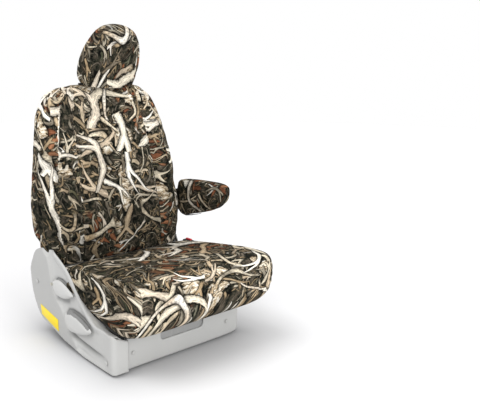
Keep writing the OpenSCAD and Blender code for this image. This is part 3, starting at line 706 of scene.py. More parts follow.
def moulded_plastic(name, base, dark, rough=0.42, grain=1400.0, strength=0.12):
    """Injection-moulded plastic with a fine grain, faint flow marks and scuffs, and painted shade read
    from the shadow attribute.
    """
    net = Net(name)
    at = object_at(net)
    cloud = net.noise(at, 5.0, 3.0)
    colour = net.mix(net.remap(cloud, 0.3, 0.7, 0.0, 0.5), base, dark)
    scuff = net.remap(net.noise(at, 60.0, 5.0, 0.75), 0.66, 0.80, 0.0, 0.3)
    colour = net.mix(scuff, colour, dark)
    # painted shade: the shadow attribute darkens the plastic towards a dark grey
    shadow = net.add("ShaderNodeAttribute", out=2, attribute_name="shadow")
    colour = net.mix(net.maths("MULTIPLY", shadow, 0.85), colour, tone(44, 44, 47))
    pores = net.add("ShaderNodeTexVoronoi", {"Vector": at, "Scale": grain}, 0)
    normal = net.bump(pores, strength, 0.0004)
    normal = net.bump(net.noise(at, grain * 0.35, 3.0), strength * 0.6, 0.0005, normal)
    shine = net.maths("ADD", net.maths("MULTIPLY_ADD", cloud, 0.14, rough - 0.07),
                      net.maths("MULTIPLY", scuff, 0.3))
    return net.surface(colour, shine, normal, Specular_IOR_Level=0.45)


def painted_steel(name, base, chip, rough=0.45):
    """Black-coated steel with worn chips and a little orange peel."""
    net = Net(name)
    at = object_at(net)
    wear = net.remap(net.noise(at, 46.0, 5.0, 0.75), 0.63, 0.70)
    streak = net.noise(net.vector("MULTIPLY", at, (30.0, 4.0, 30.0)), 6.0, 3.0)
    colour = net.mix(net.remap(streak, 0.35, 0.7, 0.0, 0.6), base, tone(52, 52, 50))
    colour = net.mix(net.maths("MULTIPLY", wear, 0.6), colour, chip)
    normal = net.bump(net.noise(at, 420.0, 2.0), 0.12, 0.0006)
    net.feed(net.shader.inputs["Metallic"], net.maths("MULTIPLY", wear, 0.6))
    return net.surface(colour, net.maths("MULTIPLY_ADD", streak, 0.25, rough - 0.1), normal)


def plated_steel(name, base, rough=0.3, brushed=True):
    """Zinc plate or chrome, with fine lay marks and a bloom."""
    net = Net(name)
    at = object_at(net)
    lay = net.noise(net.vector("MULTIPLY", at, (8.0, 160.0, 160.0) if brushed else (9, 9, 9)),
                    6.0, 3.0, 0.6)
    bloom = net.noise(at, 24.0, 4.0, 0.6)
    colour = net.mix(net.remap(bloom, 0.35, 0.75, 0.0, 0.5), base, tone(150, 146, 132))
    normal = net.bump(lay, 0.10 if brushed else 0.02, 0.0004)
    shine = net.maths("ADD", net.maths("MULTIPLY_ADD", lay, 0.16, rough - 0.08),
                      net.maths("MULTIPLY", net.remap(bloom, 0.5, 0.8), 0.12))
    return net.surface(colour, shine, normal, Metallic=1.0)


def cell_foam(name):
    """Moulded polyurethane foam with a skin and open pores, the pores darkened as painted shade."""
    net = Net(name)
    at = object_at(net)
    pores = net.add("ShaderNodeTexVoronoi", {"Vector": at, "Scale": 520.0}, 0)
    blotch = net.noise(at, 16.0, 4.0, 0.6)
    colour = net.ramp(blotch, [(0.25, tone(196, 172, 112)), (0.6, tone(222, 204, 150)),
                               (0.9, tone(232, 220, 176))])
    # painted shade: darker towards each pore's middle
    colour = net.mix(net.remap(pores, 0.0, 0.35, 0.5, 0.0), colour, tone(150, 124, 70))
    normal = net.bump(pores, 0.5, 0.0012)
    return net.surface(colour, 0.9, normal, Specular_IOR_Level=0.2)


def woven_strap(name, base, light):
    """Nylon webbing: ribs across, herringbone along, with the raised threads painted lighter as painted
    highlight.
    """
    net = Net(name)
    at = object_at(net)
    x, y, z = net.split(at)
    ribs = net.maths("SINE", net.maths("MULTIPLY", net.maths("ADD", y, z), 2600.0))
    rows = net.maths("SINE", net.maths("MULTIPLY", x, 3600.0))
    height = net.maths("MULTIPLY_ADD", net.maths("MULTIPLY", ribs, rows), 0.6, ribs)
    # painted highlight: the raised threads lighter, the hollows darker
    colour = net.mix(net.remap(height, -1.0, 1.4, 0.0, 0.7), base, light)
    normal = net.bump(height, 0.5, 0.0005)
    return net.surface(colour, 0.62, normal, Sheen_Weight=0.2)


def label_film(name):
    """Blank yellow tag: printed film with a soft crease and worn ink."""
    net = Net(name)
    at = object_at(net)
    wear = net.remap(net.noise(at, 90.0, 5.0, 0.7), 0.60, 0.72, 0.0, 0.5)
    colour = net.mix(net.remap(net.noise(at, 14.0, 3.0), 0.3, 0.7), tone(246, 218, 4),
                     tone(238, 206, 0))
    colour = net.mix(wear, colour, tone(246, 236, 150))
    normal = net.bump(net.noise(at, 60.0, 3.0), 0.2, 0.0008)
    return net.surface(colour, net.maths("MULTIPLY_ADD", wear, 0.4, 0.36), normal)


def floor_paint(name):
    """Matt pale floor with a faint mottling, and a soft shade painted round the seat's base."""
    net = Net(name)
    at = object_at(net)
    colour = net.mix(net.noise(at, 3.0, 3.0), tone(231, 231, 232), tone(229, 229, 230))
    near = net.vector("SUBTRACT", net.vector("ABSOLUTE", net.vector("SUBTRACT", at, (0.01, 0, 0))),
                      (0.27, 0.22, 0))
    far = net.vector("LENGTH", net.vector("MAXIMUM", near, (0, 0, 0)), out=1)
    shade = net.maths("MULTIPLY", net.maths("POWER", 2.718, net.maths("MULTIPLY", far, -11.0)), 0.46)
    colour = net.mix(shade, colour, tone(70, 70, 73))
    return net.surface(colour, 1.0, None, Specular_IOR_Level=0.0)


FABRIC = camo_fabric("camo_fabric")
LINING = moulded_plastic("scrim_lining", tone(44, 44, 42), tone(30, 30, 29), 0.9, 500.0, 0.4)
BINDING = woven_strap("hem_binding", tone(22, 22, 21), tone(60, 59, 54))
THREAD = woven_strap("seam_thread", tone(70, 66, 54), tone(120, 112, 92))
TRIM = moulded_plastic("trim_plastic", tone(188, 188, 186), tone(180, 180, 178))
LEVER = moulded_plastic("lever_plastic", tone(190, 190, 188), tone(182, 182, 180), 0.36)
# painted shade: a darker grey copy of the lever plastic for the entry paddle's ribbed band
SHADED_GRIP = moulded_plastic("grip_painted_shade", tone(132, 132, 131), tone(100, 100, 99), 0.6, 900.0, 0.3)
DARK = moulded_plastic("dark_plastic", tone(34, 34, 35), tone(24, 24, 25), 0.48, 1100.0, 0.2)
NYLON = moulded_plastic("glide_nylon", tone(226, 220, 200), tone(204, 196, 170), 0.35)
SCREW = moulded_plastic("screw_plastic", tone(184, 184, 182), tone(174, 174, 172), 0.4)
STEEL = painted_steel("coated_steel", tone(30, 30, 31), tone(120, 112, 104))
ZINC = plated_steel("zinc_plate", tone(198, 196, 184), 0.34)
CHROME = plated_steel("chrome", tone(226, 227, 228), 0.12, False)
FOAM = cell_foam("seat_foam")
WEBBING = woven_strap("webbing", tone(18, 18, 19), tone(52, 52, 52))
TAG = label_film("tag_film")
RED = moulded_plastic("red_button", tone(214, 22, 34), tone(178, 10, 22), 0.3, 1400.0, 0.08)


# ---------------------------------------------------------------- padded covers

def swell(obj, voxel, pressure, cap, pinned):
    """Remeshes a closed shape and lets cloth pressure fill it out, pinned along its seams."""
    remesh = obj.modifiers.new("remesh", "REMESH")
    remesh.mode, remesh.voxel_size, remesh.use_smooth_shade = "VOXEL", voxel * MM, True
    bake_modifiers(obj)
    start = points_of(obj)
    group = obj.vertex_groups.new(name="pin")
    for i in np.nonzero(pinned(start))[0]:
        group.add([int(i)], 1.0, "REPLACE")
    cloth = obj.modifiers.new("cloth", "CLOTH")
    s = cloth.settings
    s.quality, s.mass, s.time_scale = 4, 0.3, 1.0
    s.tension_stiffness = s.compression_stiffness = 18.0
    s.shear_stiffness, s.bending_stiffness = 8.0, 1.5
    s.tension_damping = s.compression_damping = s.shear_damping = 20.0
    s.use_pressure, s.uniform_pressure_force = True, pressure
    s.vertex_group_mass, s.pin_stiffness = "pin", 1.0
    s.effector_weights.gravity = 0.0
    cloth.collision_settings.use_collision = False
    scene = bpy.context.scene
    for f in range(1, 21):
        scene.frame_set(f)
    graph = bpy.context.evaluated_depsgraph_get()
    end = obj.evaluated_get(graph)
    co = np.zeros(len(end.data.vertices) * 3)
    end.data.vertices.foreach_get("co", co)
    move = co.reshape(-1, 3) / MM - start
    size = np.linalg.norm(move, axis=1)
    limit = np.minimum(1.0, cap / np.maximum(size, 1e-6))
    obj.modifiers.clear()
    obj.vertex_groups.clear()
    set_points(obj, start + move * limit[:, None])
    scene.frame_set(1)
    return obj


def subdivide(obj):
    m = obj.modifiers.new("fine", "SUBSURF")
    m.levels = m.render_levels = 1
    return bake_modifiers(obj)


def surface_tree(obj):
    """Nearest-point and ray lookups on an object, in metres."""
    mesh = obj.data
    return BVHTree.FromPolygons([v.co for v in mesh.vertices],
                                [tuple(p.vertices) for p in mesh.polygons])


def traced(tree, rays):
    """Points and normals where rays meet the surface, in millimetres."""
    found = []
    for origin, direction in rays:
        hit, normal, _, _ = tree.ray_cast(Vector(origin) * MM, Vector(direction))
        if hit is not None:
            found.append((np.array(hit) / MM, np.array(normal)))
    return found


def press_seams(obj, seams, depth=2.6, width=4.5, puff=0.9):
    """Draws the surface in along each seam, with a slight pucker beside it."""
    spots = [p for seam in seams for p, _ in seam]
    tree = kdtree.KDTree(len(spots))
    for i, p in enumerate(spots):
        tree.insert(p, i)
    tree.balance()
    points, normals = points_of(obj), normals_of(obj)
    d = np.array([tree.find(p)[2] for p in points])
    ripple = 0.75 + 0.25 * np.sin(points @ np.array((0.45, 0.38, 0.52)))
    out = -depth * np.exp(-(d / width) ** 2) + puff * ripple * np.exp(-((d - 11) / 5) ** 2)
    set_points(obj, points + normals * out[:, None])


def stitches(name, tree, seams, offsets, body, step=5.2, length=3.4, thick=0.62):
    """Rows of thread beside the seams, each stitch a small spindle lying on the cover."""
    points, faces = [], []
    ring = [(0.0, -1.0), (0.87, 0.5), (-0.87, 0.5)]
    for seam in seams:
        path = np.array([p for p, _ in seam])
        lift = np.array([n for _, n in seam])
        if len(path) < 3:
            continue
        lengths = np.r_[0, np.cumsum(np.linalg.norm(np.diff(path, axis=0), axis=1))]
        for k in range(int(lengths[-1] / step)):
            at = (k + 0.5) * step
            p = np.array([np.interp(at, lengths, path[:, c]) for c in range(3)])
            q = np.array([np.interp(at + 1, lengths, path[:, c]) for c in range(3)])
            n = np.array([np.interp(at, lengths, lift[:, c]) for c in range(3)])
            along = (q - p) / (np.linalg.norm(q - p) + 1e-9)
            side = np.cross(n, along)
            side /= np.linalg.norm(side) + 1e-9
            for offset in offsets:
                hit, normal, _, _ = tree.find_nearest(Vector(p + side * offset) * MM)
                c, up = np.array(hit) / MM, np.array(normal)
                base = len(points)
                points += [c - along * length / 2, c + along * length / 2]
                points += [c + up * 0.35 + thick * (a * side + b * up) for a, b in ring]
                for i in range(3):
                    a, b = base + 2 + i, base + 2 + (i + 1) % 3
                    faces += [(base, b, a), (base + 1, a, b)]
    obj = new_object(name, points, faces, THREAD)
    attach(obj, body)
    return obj


def creases(points, normals, marks):
    """Soft folds: each mark is (centre, reach, direction, wavelength, height)."""
    out = np.zeros(len(points))
    for centre, reach, direction, wave, height in marks:
        rel = (points - np.array(centre)) / np.array(reach)
        weight = np.exp(-(rel ** 2).sum(1))
        bent = points @ np.array(direction) + 6 * np.sin(points @ np.array((0.021, 0.017, 0.024)))
        out += weight * height * np.sin(bent * 2 * np.pi / wave)
    return points + normals * out[:, None]


def print_map(obj, panel_uv):
    """Lays the print on the cover, panel by panel.

    panel_uv is (which, lay): which(centres, normals) gives each face a panel number, and
    lay(panel, points) gives the print position of points, in millimetres.
    """
    mesh = obj.data
    layer = mesh.uv_layers.new(name="print")
    n = len(mesh.polygons)
    centre, normal = np.zeros(n * 3), np.zeros(n * 3)
    mesh.polygons.foreach_get("center", centre)
    mesh.polygons.foreach_get("normal", normal)
    starts, totals = np.zeros(n, int), np.zeros(n, int)
    mesh.polygons.foreach_get("loop_start", starts)
    mesh.polygons.foreach_get("loop_total", totals)
    corner = np.zeros(len(mesh.loops), int)
    mesh.loops.foreach_get("vertex_index", corner)
    which, lay = panel_uv
    panel = which(centre.reshape(-1, 3) / MM, normal.reshape(-1, 3))
    by_corner = np.repeat(panel, totals)
    points = points_of(obj)[corner]
    uv = np.zeros((len(corner), 2))
    for k in np.unique(panel):
        here = by_corner == k
        uv[here] = lay(int(k), points[here])
    layer.data.foreach_set("uv", (uv * MM).ravel())


def open_underside(obj, gone):
    """Cuts the opening under a cover, then gives the fabric its thickness inwards."""
    work = bmesh.new()
    work.from_mesh(obj.data)
    centres = np.array([f.calc_center_median() for f in work.faces]) / MM
    normals = np.array([f.normal for f in work.faces])
    drop = gone(centres, normals)
    bmesh.ops.delete(work, geom=[f for f, d in zip(work.faces, drop) if d], context="FACES")
    work.to_mesh(obj.data)
    work.free()
    obj.data.materials.append(LINING)
    m = obj.modifiers.new("cloth_thickness", "SOLIDIFY")
    m.thickness, m.offset, m.use_even_offset = FABRIC_WALL * MM, -1.0, False
    m.material_offset, m.material_offset_rim = 1, 0
    return bake_modifiers(obj)


def finish_cover(obj, node, body, busy_and_painted_light):
    """Dresses a cover; the given function gives, 0 to 1, how many pale branches the print shows and how
    light the print is painted there, partly painted light and shade.
    """
    layer = obj.data.attributes.new("busy_and_painted_light", "FLOAT", "POINT")
    layer.data.foreach_set("value", np.clip(busy_and_painted_light(points_of(obj)), 0, 1))
    obj.data.materials[0] = FABRIC
    obj.data.polygons.foreach_set("use_smooth", [True] * len(obj.data.polygons))
    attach(obj, body)
    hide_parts(node)
    return obj


def sculpt_cushion(points):
    """Bolsters along the sides and a shallow seat between them."""
    x, y, z = points[:, 0] - CUSHION_X, points[:, 1], points[:, 2]
    top = CUSHION_TOP - CUSHION_TILT * y
    high = smooth((z - (top - 46)) / 40)
    dish = np.exp(-(np.abs(x) / 172) ** 4) * np.exp(-(np.abs(y + 90) / 215) ** 4)
    bolster = np.exp(-((np.abs(x) - 226) / 44) ** 2) * smooth((y + 330) / 120)
    out = points.copy()
    out[:, 2] += high * (7 * bolster - 8 * dish + 4 * np.exp(-(x / 190) ** 2))
    out[:, 0] += 9 * smooth((x - 120) / 160) * smooth((20 - y) / 120)
    return out


def cushion_cover():
    rows = refine(inset(CUSHION_ROWS, 3.0), 8)
    points, faces = closed_loft(level_rings(rows, 360, CUSHION_SQUARE, CUSHION_X), 3.0)
    obj = new_object("cushion_cover_fabric", sculpt_cushion(points), faces, FABRIC)
    edge = CUSHION_HALF - 30

    def pinned(p):
        x = np.abs(p[:, 0] - CUSHION_X)
        rail = (np.abs(x - edge) < 7) & (p[:, 2] > CUSHION_TOP - 45 - CUSHION_TILT * p[:, 1])
        return rail | (p[:, 2] < CUSHION_TOP - 118 + 0.2 * p[:, 1] + 8)

    swell(obj, 7.0, 4.0, 8.0, pinned)
    subdivide(obj)
    tree = surface_tree(obj)
    seams = []
    for side in (-1, 1):
        x = CUSHION_X + side * (edge - 4)
        top = [((x, y, 500), (0, 0, -1)) for y in range(60, -310, -6)]
        corner = []
        for k in range(0, 46):
            a = math.radians(2 * k)
            corner.append(((x + side * 6 * math.sin(a) * 0.5, -250 - 320 * math.sin(a),
                            225 + 320 * math.cos(a)), (0, math.sin(a), -math.cos(a))))
        front = [((x + side * 3, -600, z), (0, 1, 0)) for z in range(222, 172, -6)]
        seams.append(traced(tree, top + corner[8:] + front))
    press_seams(obj, seams, 2.2)
    hem = [((x, -600, z), (0, 1, 0)) for x, z in
           [(x, 196) for x in range(-238, 276, 6)]]
    press_seams(obj, [traced(tree, hem)], 1.0, 4.0, 0.4)
    p, n = points_of(obj), normals_of(obj)
    p = creases(p, n, [
        ((-230, -330, 215), (70, 60, 60), (0.4, 0.2, 0.9), 26, 1.5),
        ((270, -330, 215), (70, 60, 60), (-0.4, 0.2, 0.9), 28, 1.5),
        ((-250, 60, 280), (90, 90, 50), (0.9, 0.5, 0.2), 34, 1.6),
        ((20, 90, 285), (260, 40, 40), (0.5, 0.9, 0.1), 46, 1.8),
        ((20, -350, 190), (260, 40, 40), (0.95, 0.1, 0.3), 38, 1.0),
        ((20, -120, 300), (220, 200, 60), (0.2, 0.97, 0.1), 88, 0.8),
    ])
    p[:, 0] = np.maximum(p[:, 0], SHIELD_INNER)
    set_points(obj, p)
    open_underside(obj, lambda c, m: (c[:, 2] < CUSHION_TOP - 129 + 0.2 * c[:, 1] + 10)
                   & (m[:, 2] < -0.75))

    def which(c, m):
        side = np.abs(c[:, 0] - CUSHION_X) > edge
        rear = (c[:, 1] > 88) & (m[:, 1] > 0.6)
        return np.where(side, np.where(c[:, 0] < CUSHION_X, 1, 2), np.where(rear, 3, 0))

    def lay(k, p):
        if k == 0:
            drop = CUSHION_TOP - CUSHION_TILT * p[:, 1] - p[:, 2]
            return np.stack([p[:, 0] + 700, p[:, 1] - drop + 1900], axis=1)
        if k == 3:
            return np.stack([p[:, 0] + 300, p[:, 2] + 4100], axis=1)
        run = around(p, CUSHION_ROWS, CUSHION_SQUARE, CUSHION_X)
        rise = p[:, 2] + CUSHION_HALF - np.abs(p[:, 0] - CUSHION_X)
        return np.stack([run + 900 * k, rise + 2700], axis=1)

    print_map(obj, (which, lay))
    finish_cover(obj, "cushion_cover", "seat",
                 lambda p: 0.14 + 0.76 * smooth((-270 - p[:, 1]) / 60))
    stitches("cushion_seam_stitching", surface_tree(obj), seams, (-5.5, 5.5), "seat")
    ring = level_rings(CUSHION_ROWS[:1], 220, CUSHION_SQUARE, CUSHION_X)[0]
    hem = tube("cushion_hem_binding", ring + np.array((0, 0, 1.0)), 4.2, BINDING, closed=True)
    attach(hem, "seat")


HEM_DROP = 6.0


def sculpt_back(points):
    """Side bolsters, a lumbar swell and a hollow for the shoulders."""
    half, front, rear = row_at(BACK_ROWS, points[:, 2])
    x, z = points[:, 0], points[:, 2]
    depth = (rear - front) / 2
    ahead = smooth((((front + rear) / 2 - points[:, 1]) / depth - 0.35) / 0.5)
    inner = np.exp(-(np.abs(x) / (0.60 * half)) ** 5)
    window = smooth((z - 300) / 90) * smooth((850 - z) / 110)
    lumbar = np.exp(-((z - 420) / 90) ** 2)
    out = points.copy()
    out[:, 1] += ahead * (window * inner * 13 - 8 * lumbar * inner
                          - 4 * (1 - inner) * window)
    out[:, 2] -= HEM_DROP * smooth((300 - z) / 28) * smooth((190 - points[:, 1]) / 60)
    beside_arm = np.where(x > 0, smooth((z - 350) / 30) * smooth((545 - z) / 30), 0.0)
    spread = 8 + 5 * smooth((z - 520) / 80) - 6 * beside_arm
    start = np.where(x > 0, 395, 325)
    out[:, 0] += x / half * smooth((z - start) / 40) * spread
    out[:, 0] -= 4.0 * (x > 0) * x / half * (1 - smooth((z - 350) / 60))
    behind = np.clip((points[:, 1] - (front + rear) / 2) / depth, 0, 1)
    out[:, 1] += 30 * behind * smooth((z - 800) / 70)
    return out


def back_seam_x(z):
    """Where the seam between the middle panel and a bolster runs."""
    return np.interp(z, [280, 420, 560, 700, 790, 850], [176, 172, 166, 158, 148, 136])


def back_cover():
    rows = refine(inset(BACK_ROWS, 3.0), 8)
    points, faces = closed_loft(level_rings(rows, 360, BACK_SQUARE), 5.0)
    obj = new_object("back_cover_fabric", sculpt_back(points), faces, FABRIC)

    def pinned(p):
        _, front, rear = row_at(BACK_ROWS, p[:, 2])
        ahead = p[:, 1] < (front + rear) / 2
        seam = np.abs(np.abs(p[:, 0]) - back_seam_x(p[:, 2])) < 6
        return (seam & ahead) | (p[:, 2] < 290)

    swell(obj, 8.0, 4.0, 8.0, pinned)
    subdivide(obj)
    tree = surface_tree(obj)
    heights = np.arange(282, 856, 6.0)
    seams = [traced(tree, [((side * float(back_seam_x(z)), -300, z), (0, 1, 0))
                           for z in heights]) for side in (-1, 1)]
    boxed = []
    for side in (-1, 1):
        rays = []
        for z in np.arange(282, 826, 6.0):
            half, front, rear = row_at(BACK_ROWS, z)
            mid, depth = (front + rear) / 2, (rear - front) / 2
            away = np.array((side * 0.86 * half, -0.86 * depth)) * 3
            aim = np.array((-away[0], -away[1])) / np.linalg.norm(away)
            rays.append(((away[0], mid + away[1], z), (aim[0], aim[1], 0)))
        boxed.append(traced(tree, rays))
    press_seams(obj, seams, 3.2, 5.0, 1.1)
    press_seams(obj, boxed, 1.6, 4.0, 0.4)
    p, n = points_of(obj), normals_of(obj)
    p = creases(p, n, [
        ((-200, 150, 330), (110, 90, 70), (0.5, 0.2, 0.85), 34, 1.8),
        ((200, 150, 330), (110, 90, 70), (-0.5, 0.2, 0.85), 36, 1.8),
        ((0, 110, 320), (200, 60, 60), (0.95, 0.1, 0.3), 44, 1.6),
        ((-230, 190, 560), (70, 90, 160), (0.3, 0.1, 0.95), 52, 1.2),
        ((230, 190, 600), (70, 90, 160), (-0.3, 0.1, 0.95), 58, 1.1),
        ((0, 240, 860), (170, 70, 40), (0.93, 0.3, 0.2), 40, 1.2),
        ((0, 320, 560), (260, 40, 240), (0.6, 0.1, 0.8), 96, 1.6),
    ])
    set_points(obj, p)
    open_underside(obj, lambda c, m: (c[:, 2] < 282) & (m[:, 2] < -0.72))

    def which(c, m):
        half, front, rear = row_at(BACK_ROWS, c[:, 2])
        mid, depth = (front + rear) / 2, (rear - front) / 2
        side = np.abs(c[:, 0]) / half > np.abs(c[:, 1] - mid) / depth
        side &= np.abs(m[:, 2]) < 0.7
        rear_panel = c[:, 1] > mid + 20
        middle = np.abs(c[:, 0]) < back_seam_x(c[:, 2])
        front_part = np.where(middle, 0, np.where(c[:, 0] < 0, 1, 2))
        return np.where(side, np.where(c[:, 0] < 0, 3, 4), np.where(rear_panel, 5, front_part))

    def lay(k, p):
        roll = climb(p, BACK_ROWS, k == 5)
        shift = {0: (1200, 600), 1: (2210, 1440), 2: (3320, 420), 5: (5000, 900)}
        if k == 5:
            return np.stack([-p[:, 0], roll], axis=1) + np.array(shift[k])
        run = around(p, BACK_ROWS, BACK_SQUARE)
        if k in shift:
            return np.stack([run, roll], axis=1) + np.array(shift[k])
        return np.stack([run + 1300 * k, p[:, 2] + 210], axis=1)

    print_map(obj, (which, lay))
    finish_cover(obj, "back_cover", "back",
                 lambda p: 0.12 + 0.45 * smooth((p[:, 2] - 420) / 130)
                 + 0.45 * smooth((p[:, 2] - 620) / 120))
    stitches("back_seam_stitching", surface_tree(obj), seams + boxed, (-5.5, 5.5), "back")
    ring = sculpt_back(level_rings(BACK_ROWS[:1], 200, BACK_SQUARE)[0])
    hem = tube("back_hem_binding", ring + np.array((0, 0, 1.5)), 4.2, BINDING, closed=True)
    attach(hem, "back")


def headrest_cover():
    rows = refine(inset(HEAD_ROWS, 4.0), 8)
    points, faces = closed_loft(level_rings(rows, 240, HEAD_SQUARE), 3.0)
    obj = new_object("headrest_cover_fabric", points, faces, FABRIC)

    def seam_x(z):
        half, _, _ = row_at(HEAD_ROWS, z)
        return half * 0.80

    def pinned(p):
        return np.abs(np.abs(p[:, 0]) - seam_x(p[:, 2])) < 5

    swell(obj, 5.5, 4.0, 6.0, pinned)
    subdivide(obj)
    tree = surface_tree(obj)
    seams = []
    for side in (-1, 1):
        front = [((side * float(seam_x(z)), -200, z), (0, 1, 0)) for z in range(884, 1068, 5)]
        over = [((side * float(seam_x(z)), 700, z), (0, -1, 0)) for z in range(1066, 916, -5)]
        seams += [traced(tree, front), traced(tree, over)]
    press_seams(obj, seams, 2.0, 4.0, 0.6)
    p, n = points_of(obj), normals_of(obj)
    p = creases(p, n, [
        ((-70, 150, 920), (60, 60, 34), (0.5, 0.2, 0.85), 24, 1.4),
        ((70, 150, 920), (60, 60, 34), (-0.5, 0.2, 0.85), 26, 1.4),
        ((0, 130, 1000), (110, 60, 60), (0.4, 0.2, 0.88), 60, 0.8),
    ])
    set_points(obj, p)

    def which(c, m):
        return np.where(np.abs(c[:, 0]) > seam_x(c[:, 2]), np.where(c[:, 0] < 0, 1, 2),
                        np.where(m[:, 2] < -0.7, 3, 0))

    def lay(k, p):
        if k == 0:
            back = p[:, 1] > 190
            height = np.where(back, 2 * HEAD_TOP - p[:, 2], p[:, 2]) + 0.6 * p[:, 1]
            return np.stack([p[:, 0] + 2050, height + 300], axis=1)
        if k == 3:
            return p[:, :2] + 3000
        run = around(p, HEAD_ROWS, HEAD_SQUARE)
        return np.stack([run + 700 * k, p[:, 2] + 1300], axis=1)

    print_map(obj, (which, lay))
    finish_cover(obj, "headrest_cover", "head", lambda p: np.full(len(p), 0.68))
    stitches("headrest_seam_stitching", surface_tree(obj), seams, (-4.5, 4.5), "head")


def armrest_cover():
    rows = refine(inset(ARM_ROWS, 3.0), 8)
    points, faces = closed_loft(cross_rings(rows, 200, ARM_SQUARE), 4.0)
    obj = new_object("armrest_cover_fabric", points, faces, FABRIC)

    def pinned(p):
        half = np.interp(-p[:, 1], [-168, -130, 46, 76, 93], [31, 34, 32, 25, 12])
        return np.abs(np.abs(p[:, 0] - ARM_MID) - half * 0.82) < 4

    swell(obj, 5.0, 4.0, 4.0, pinned)
    subdivide(obj)
    tree = surface_tree(obj)
    seams = []
    for side in (-1, 1):
        x = ARM_MID + side * 25
        top = [((x, y, 700), (0, 0, -1)) for y in range(160, -66, -5)]
        under = [((x, y, 200), (0, 0, 1)) for y in range(-60, 160, 5)]
        seams += [traced(tree, top), traced(tree, under)]
    press_seams(obj, seams, 1.8, 4.0, 0.5)
    p, n = points_of(obj), normals_of(obj)
    p = creases(p, n, [
        ((300, 100, 400), (40, 70, 60), (0.1, 0.6, 0.8), 26, 1.2),
        ((ARM_MID, -40, 440), (50, 60, 40), (0.2, 0.9, 0.4), 24, 1.0),
    ])
    set_points(obj, p)

    def which(c, m):
        side = np.abs(m[:, 0]) > 0.66
        return np.where(side, np.where(m[:, 0] < 0, 1, 2), 0)

    def lay(k, p):
        if k == 0:
            return np.stack([p[:, 0] + 1500, p[:, 1] + 0.7 * p[:, 2] + 3900], axis=1)
        return np.stack([p[:, 1] * (1 if k == 1 else -1) + 850 * k, p[:, 2] + 3600], axis=1)

    print_map(obj, (which, lay))
    finish_cover(obj, "armrest_cover", "arm", lambda p: np.full(len(p), 0.1))
    stitches("armrest_seam_stitching", surface_tree(obj), seams, (-4.0, 4.0), "arm")


# ---------------------------------------------------------------- foam

def foam_piece(name, node, body, rings):
    points, faces = closed_loft(rings, 2.0, 4)
    wave = np.sin(points @ np.array((0.11, 0.07, 0.05))) * np.sin(points @ np.array((-0.05, 0.09, 0.1)))
    obj = new_object(name, points, faces, FOAM)
    set_points(obj, points_of(obj) + normals_of(obj) * (wave * 0.5 - 0.4)[:, None])
    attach(obj, body)
    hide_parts(node)
    return obj


def foams():
    rows = refine(inset(CUSHION_ROWS, FOAM_GAP + 7), 3)[7:]
    rings = [sculpt_cushion(r) for r in level_rings(rows, 160, 6.0, CUSHION_X)]
    foam_piece("cushion_foam_pad", "cushion_foam", "seat", rings)
    rows = [r for r in refine(inset(BACK_ROWS, FOAM_GAP + 7), 3) if 286 < r[0] < BACK_TOP - 60]
    rings = []
    for ring in level_rings(rows, 160, 4.2):
        rear = 180 + (ring[0, 2] - 262) * math.tan(math.radians(10)) - 39
        ring[:, 1] = np.minimum(ring[:, 1], rear)
        rings.append(ring)
    foam_piece("back_foam_pad", "back_foam", "back", [sculpt_back(r) for r in rings])
    rows = [r for r in refine(inset(HEAD_ROWS, FOAM_GAP + 5), 3) if r[0] > HEAD_TOP - 226]
    foam_piece("headrest_foam_pad", "headrest_foam", "head",
               level_rings(rows, 120, HEAD_SQUARE))
    rows = [r for r in refine(inset(ARM_ROWS, FOAM_GAP + 3), 3) if r[0] < 158]
    foam_piece("armrest_foam_pad", "armrest_foam", "arm",
               cross_rings(rows, 100, ARM_SQUARE))


# ---------------------------------------------------------------- moulded trims

def closed_curve(points):
    """Smooth closed outline through points."""
    n = len(points)
    return [tuple(p) for p in refine(list(points) * 3, 4)[n * 4:n * 8]]


UPPER_PADDLE = closed_curve([(116, 225), (98, 233), (70, 235), (32, 225), (3, 213), (-9, 203),
                             (8, 193), (43, 180), (78, 178), (102, 182), (117, 198), (125, 213)])
LOWER_PADDLE = closed_curve([(44, 120), (28, 140), (4, 147), (-36, 145), (-74, 136), (-103, 125),
                             (-117, 113), (-95, 97), (-56, 84), (-17, 78), (14, 76), (36, 90)])
GRIP_LINE = [(27, 137), (3, 144), (-36, 142), (-74, 133), (-100, 123)]
UPPER_GAP = [(115, 228), (100, 238), (70, 239), (32, 229), (2, 217), (-12, 205)]
UPPER_UNDER = [(98, 168), (62, 167), (32, 173)]
LOWER_GAP = [(46, 126), (30, 146), (4, 152), (-36, 150), (-74, 141), (-106, 130)]
CORNER_R = 16.0
WRAP_AT = 238.0 - CORNER_R
WRAP_ARC = CORNER_R * math.pi / 2


def shield_lines(yz):
    """Signed distances from the shield's ridge (rear side positive) and crease (top positive)."""
    ridge, _ = segment_distance(yz, SHIELD_RIDGE)
    line = np.array(SHIELD_RIDGE[::-1], float)
    ridge = ridge * np.where(yz[:, 0] > np.interp(yz[:, 1], line[:, 1], line[:, 0]), 1, -1)
    crease, _ = segment_distance(yz, SHIELD_CREASE)
    line = np.array(SHIELD_CREASE[::-1], float)
    crease = crease * np.where(yz[:, 1] > np.interp(yz[:, 0], line[:, 0], line[:, 1]), 1, -1)
    run = smooth((yz[:, 0] + 222) / 130) * smooth((48 - yz[:, 0]) / 50)
    return ridge, crease, run


def outside(yz, outline):
    """Distance from a closed outline, zero within it."""
    d, _ = segment_distance(yz, list(outline) + [outline[0]])
    d[inside(yz, outline)] = 0
    return d


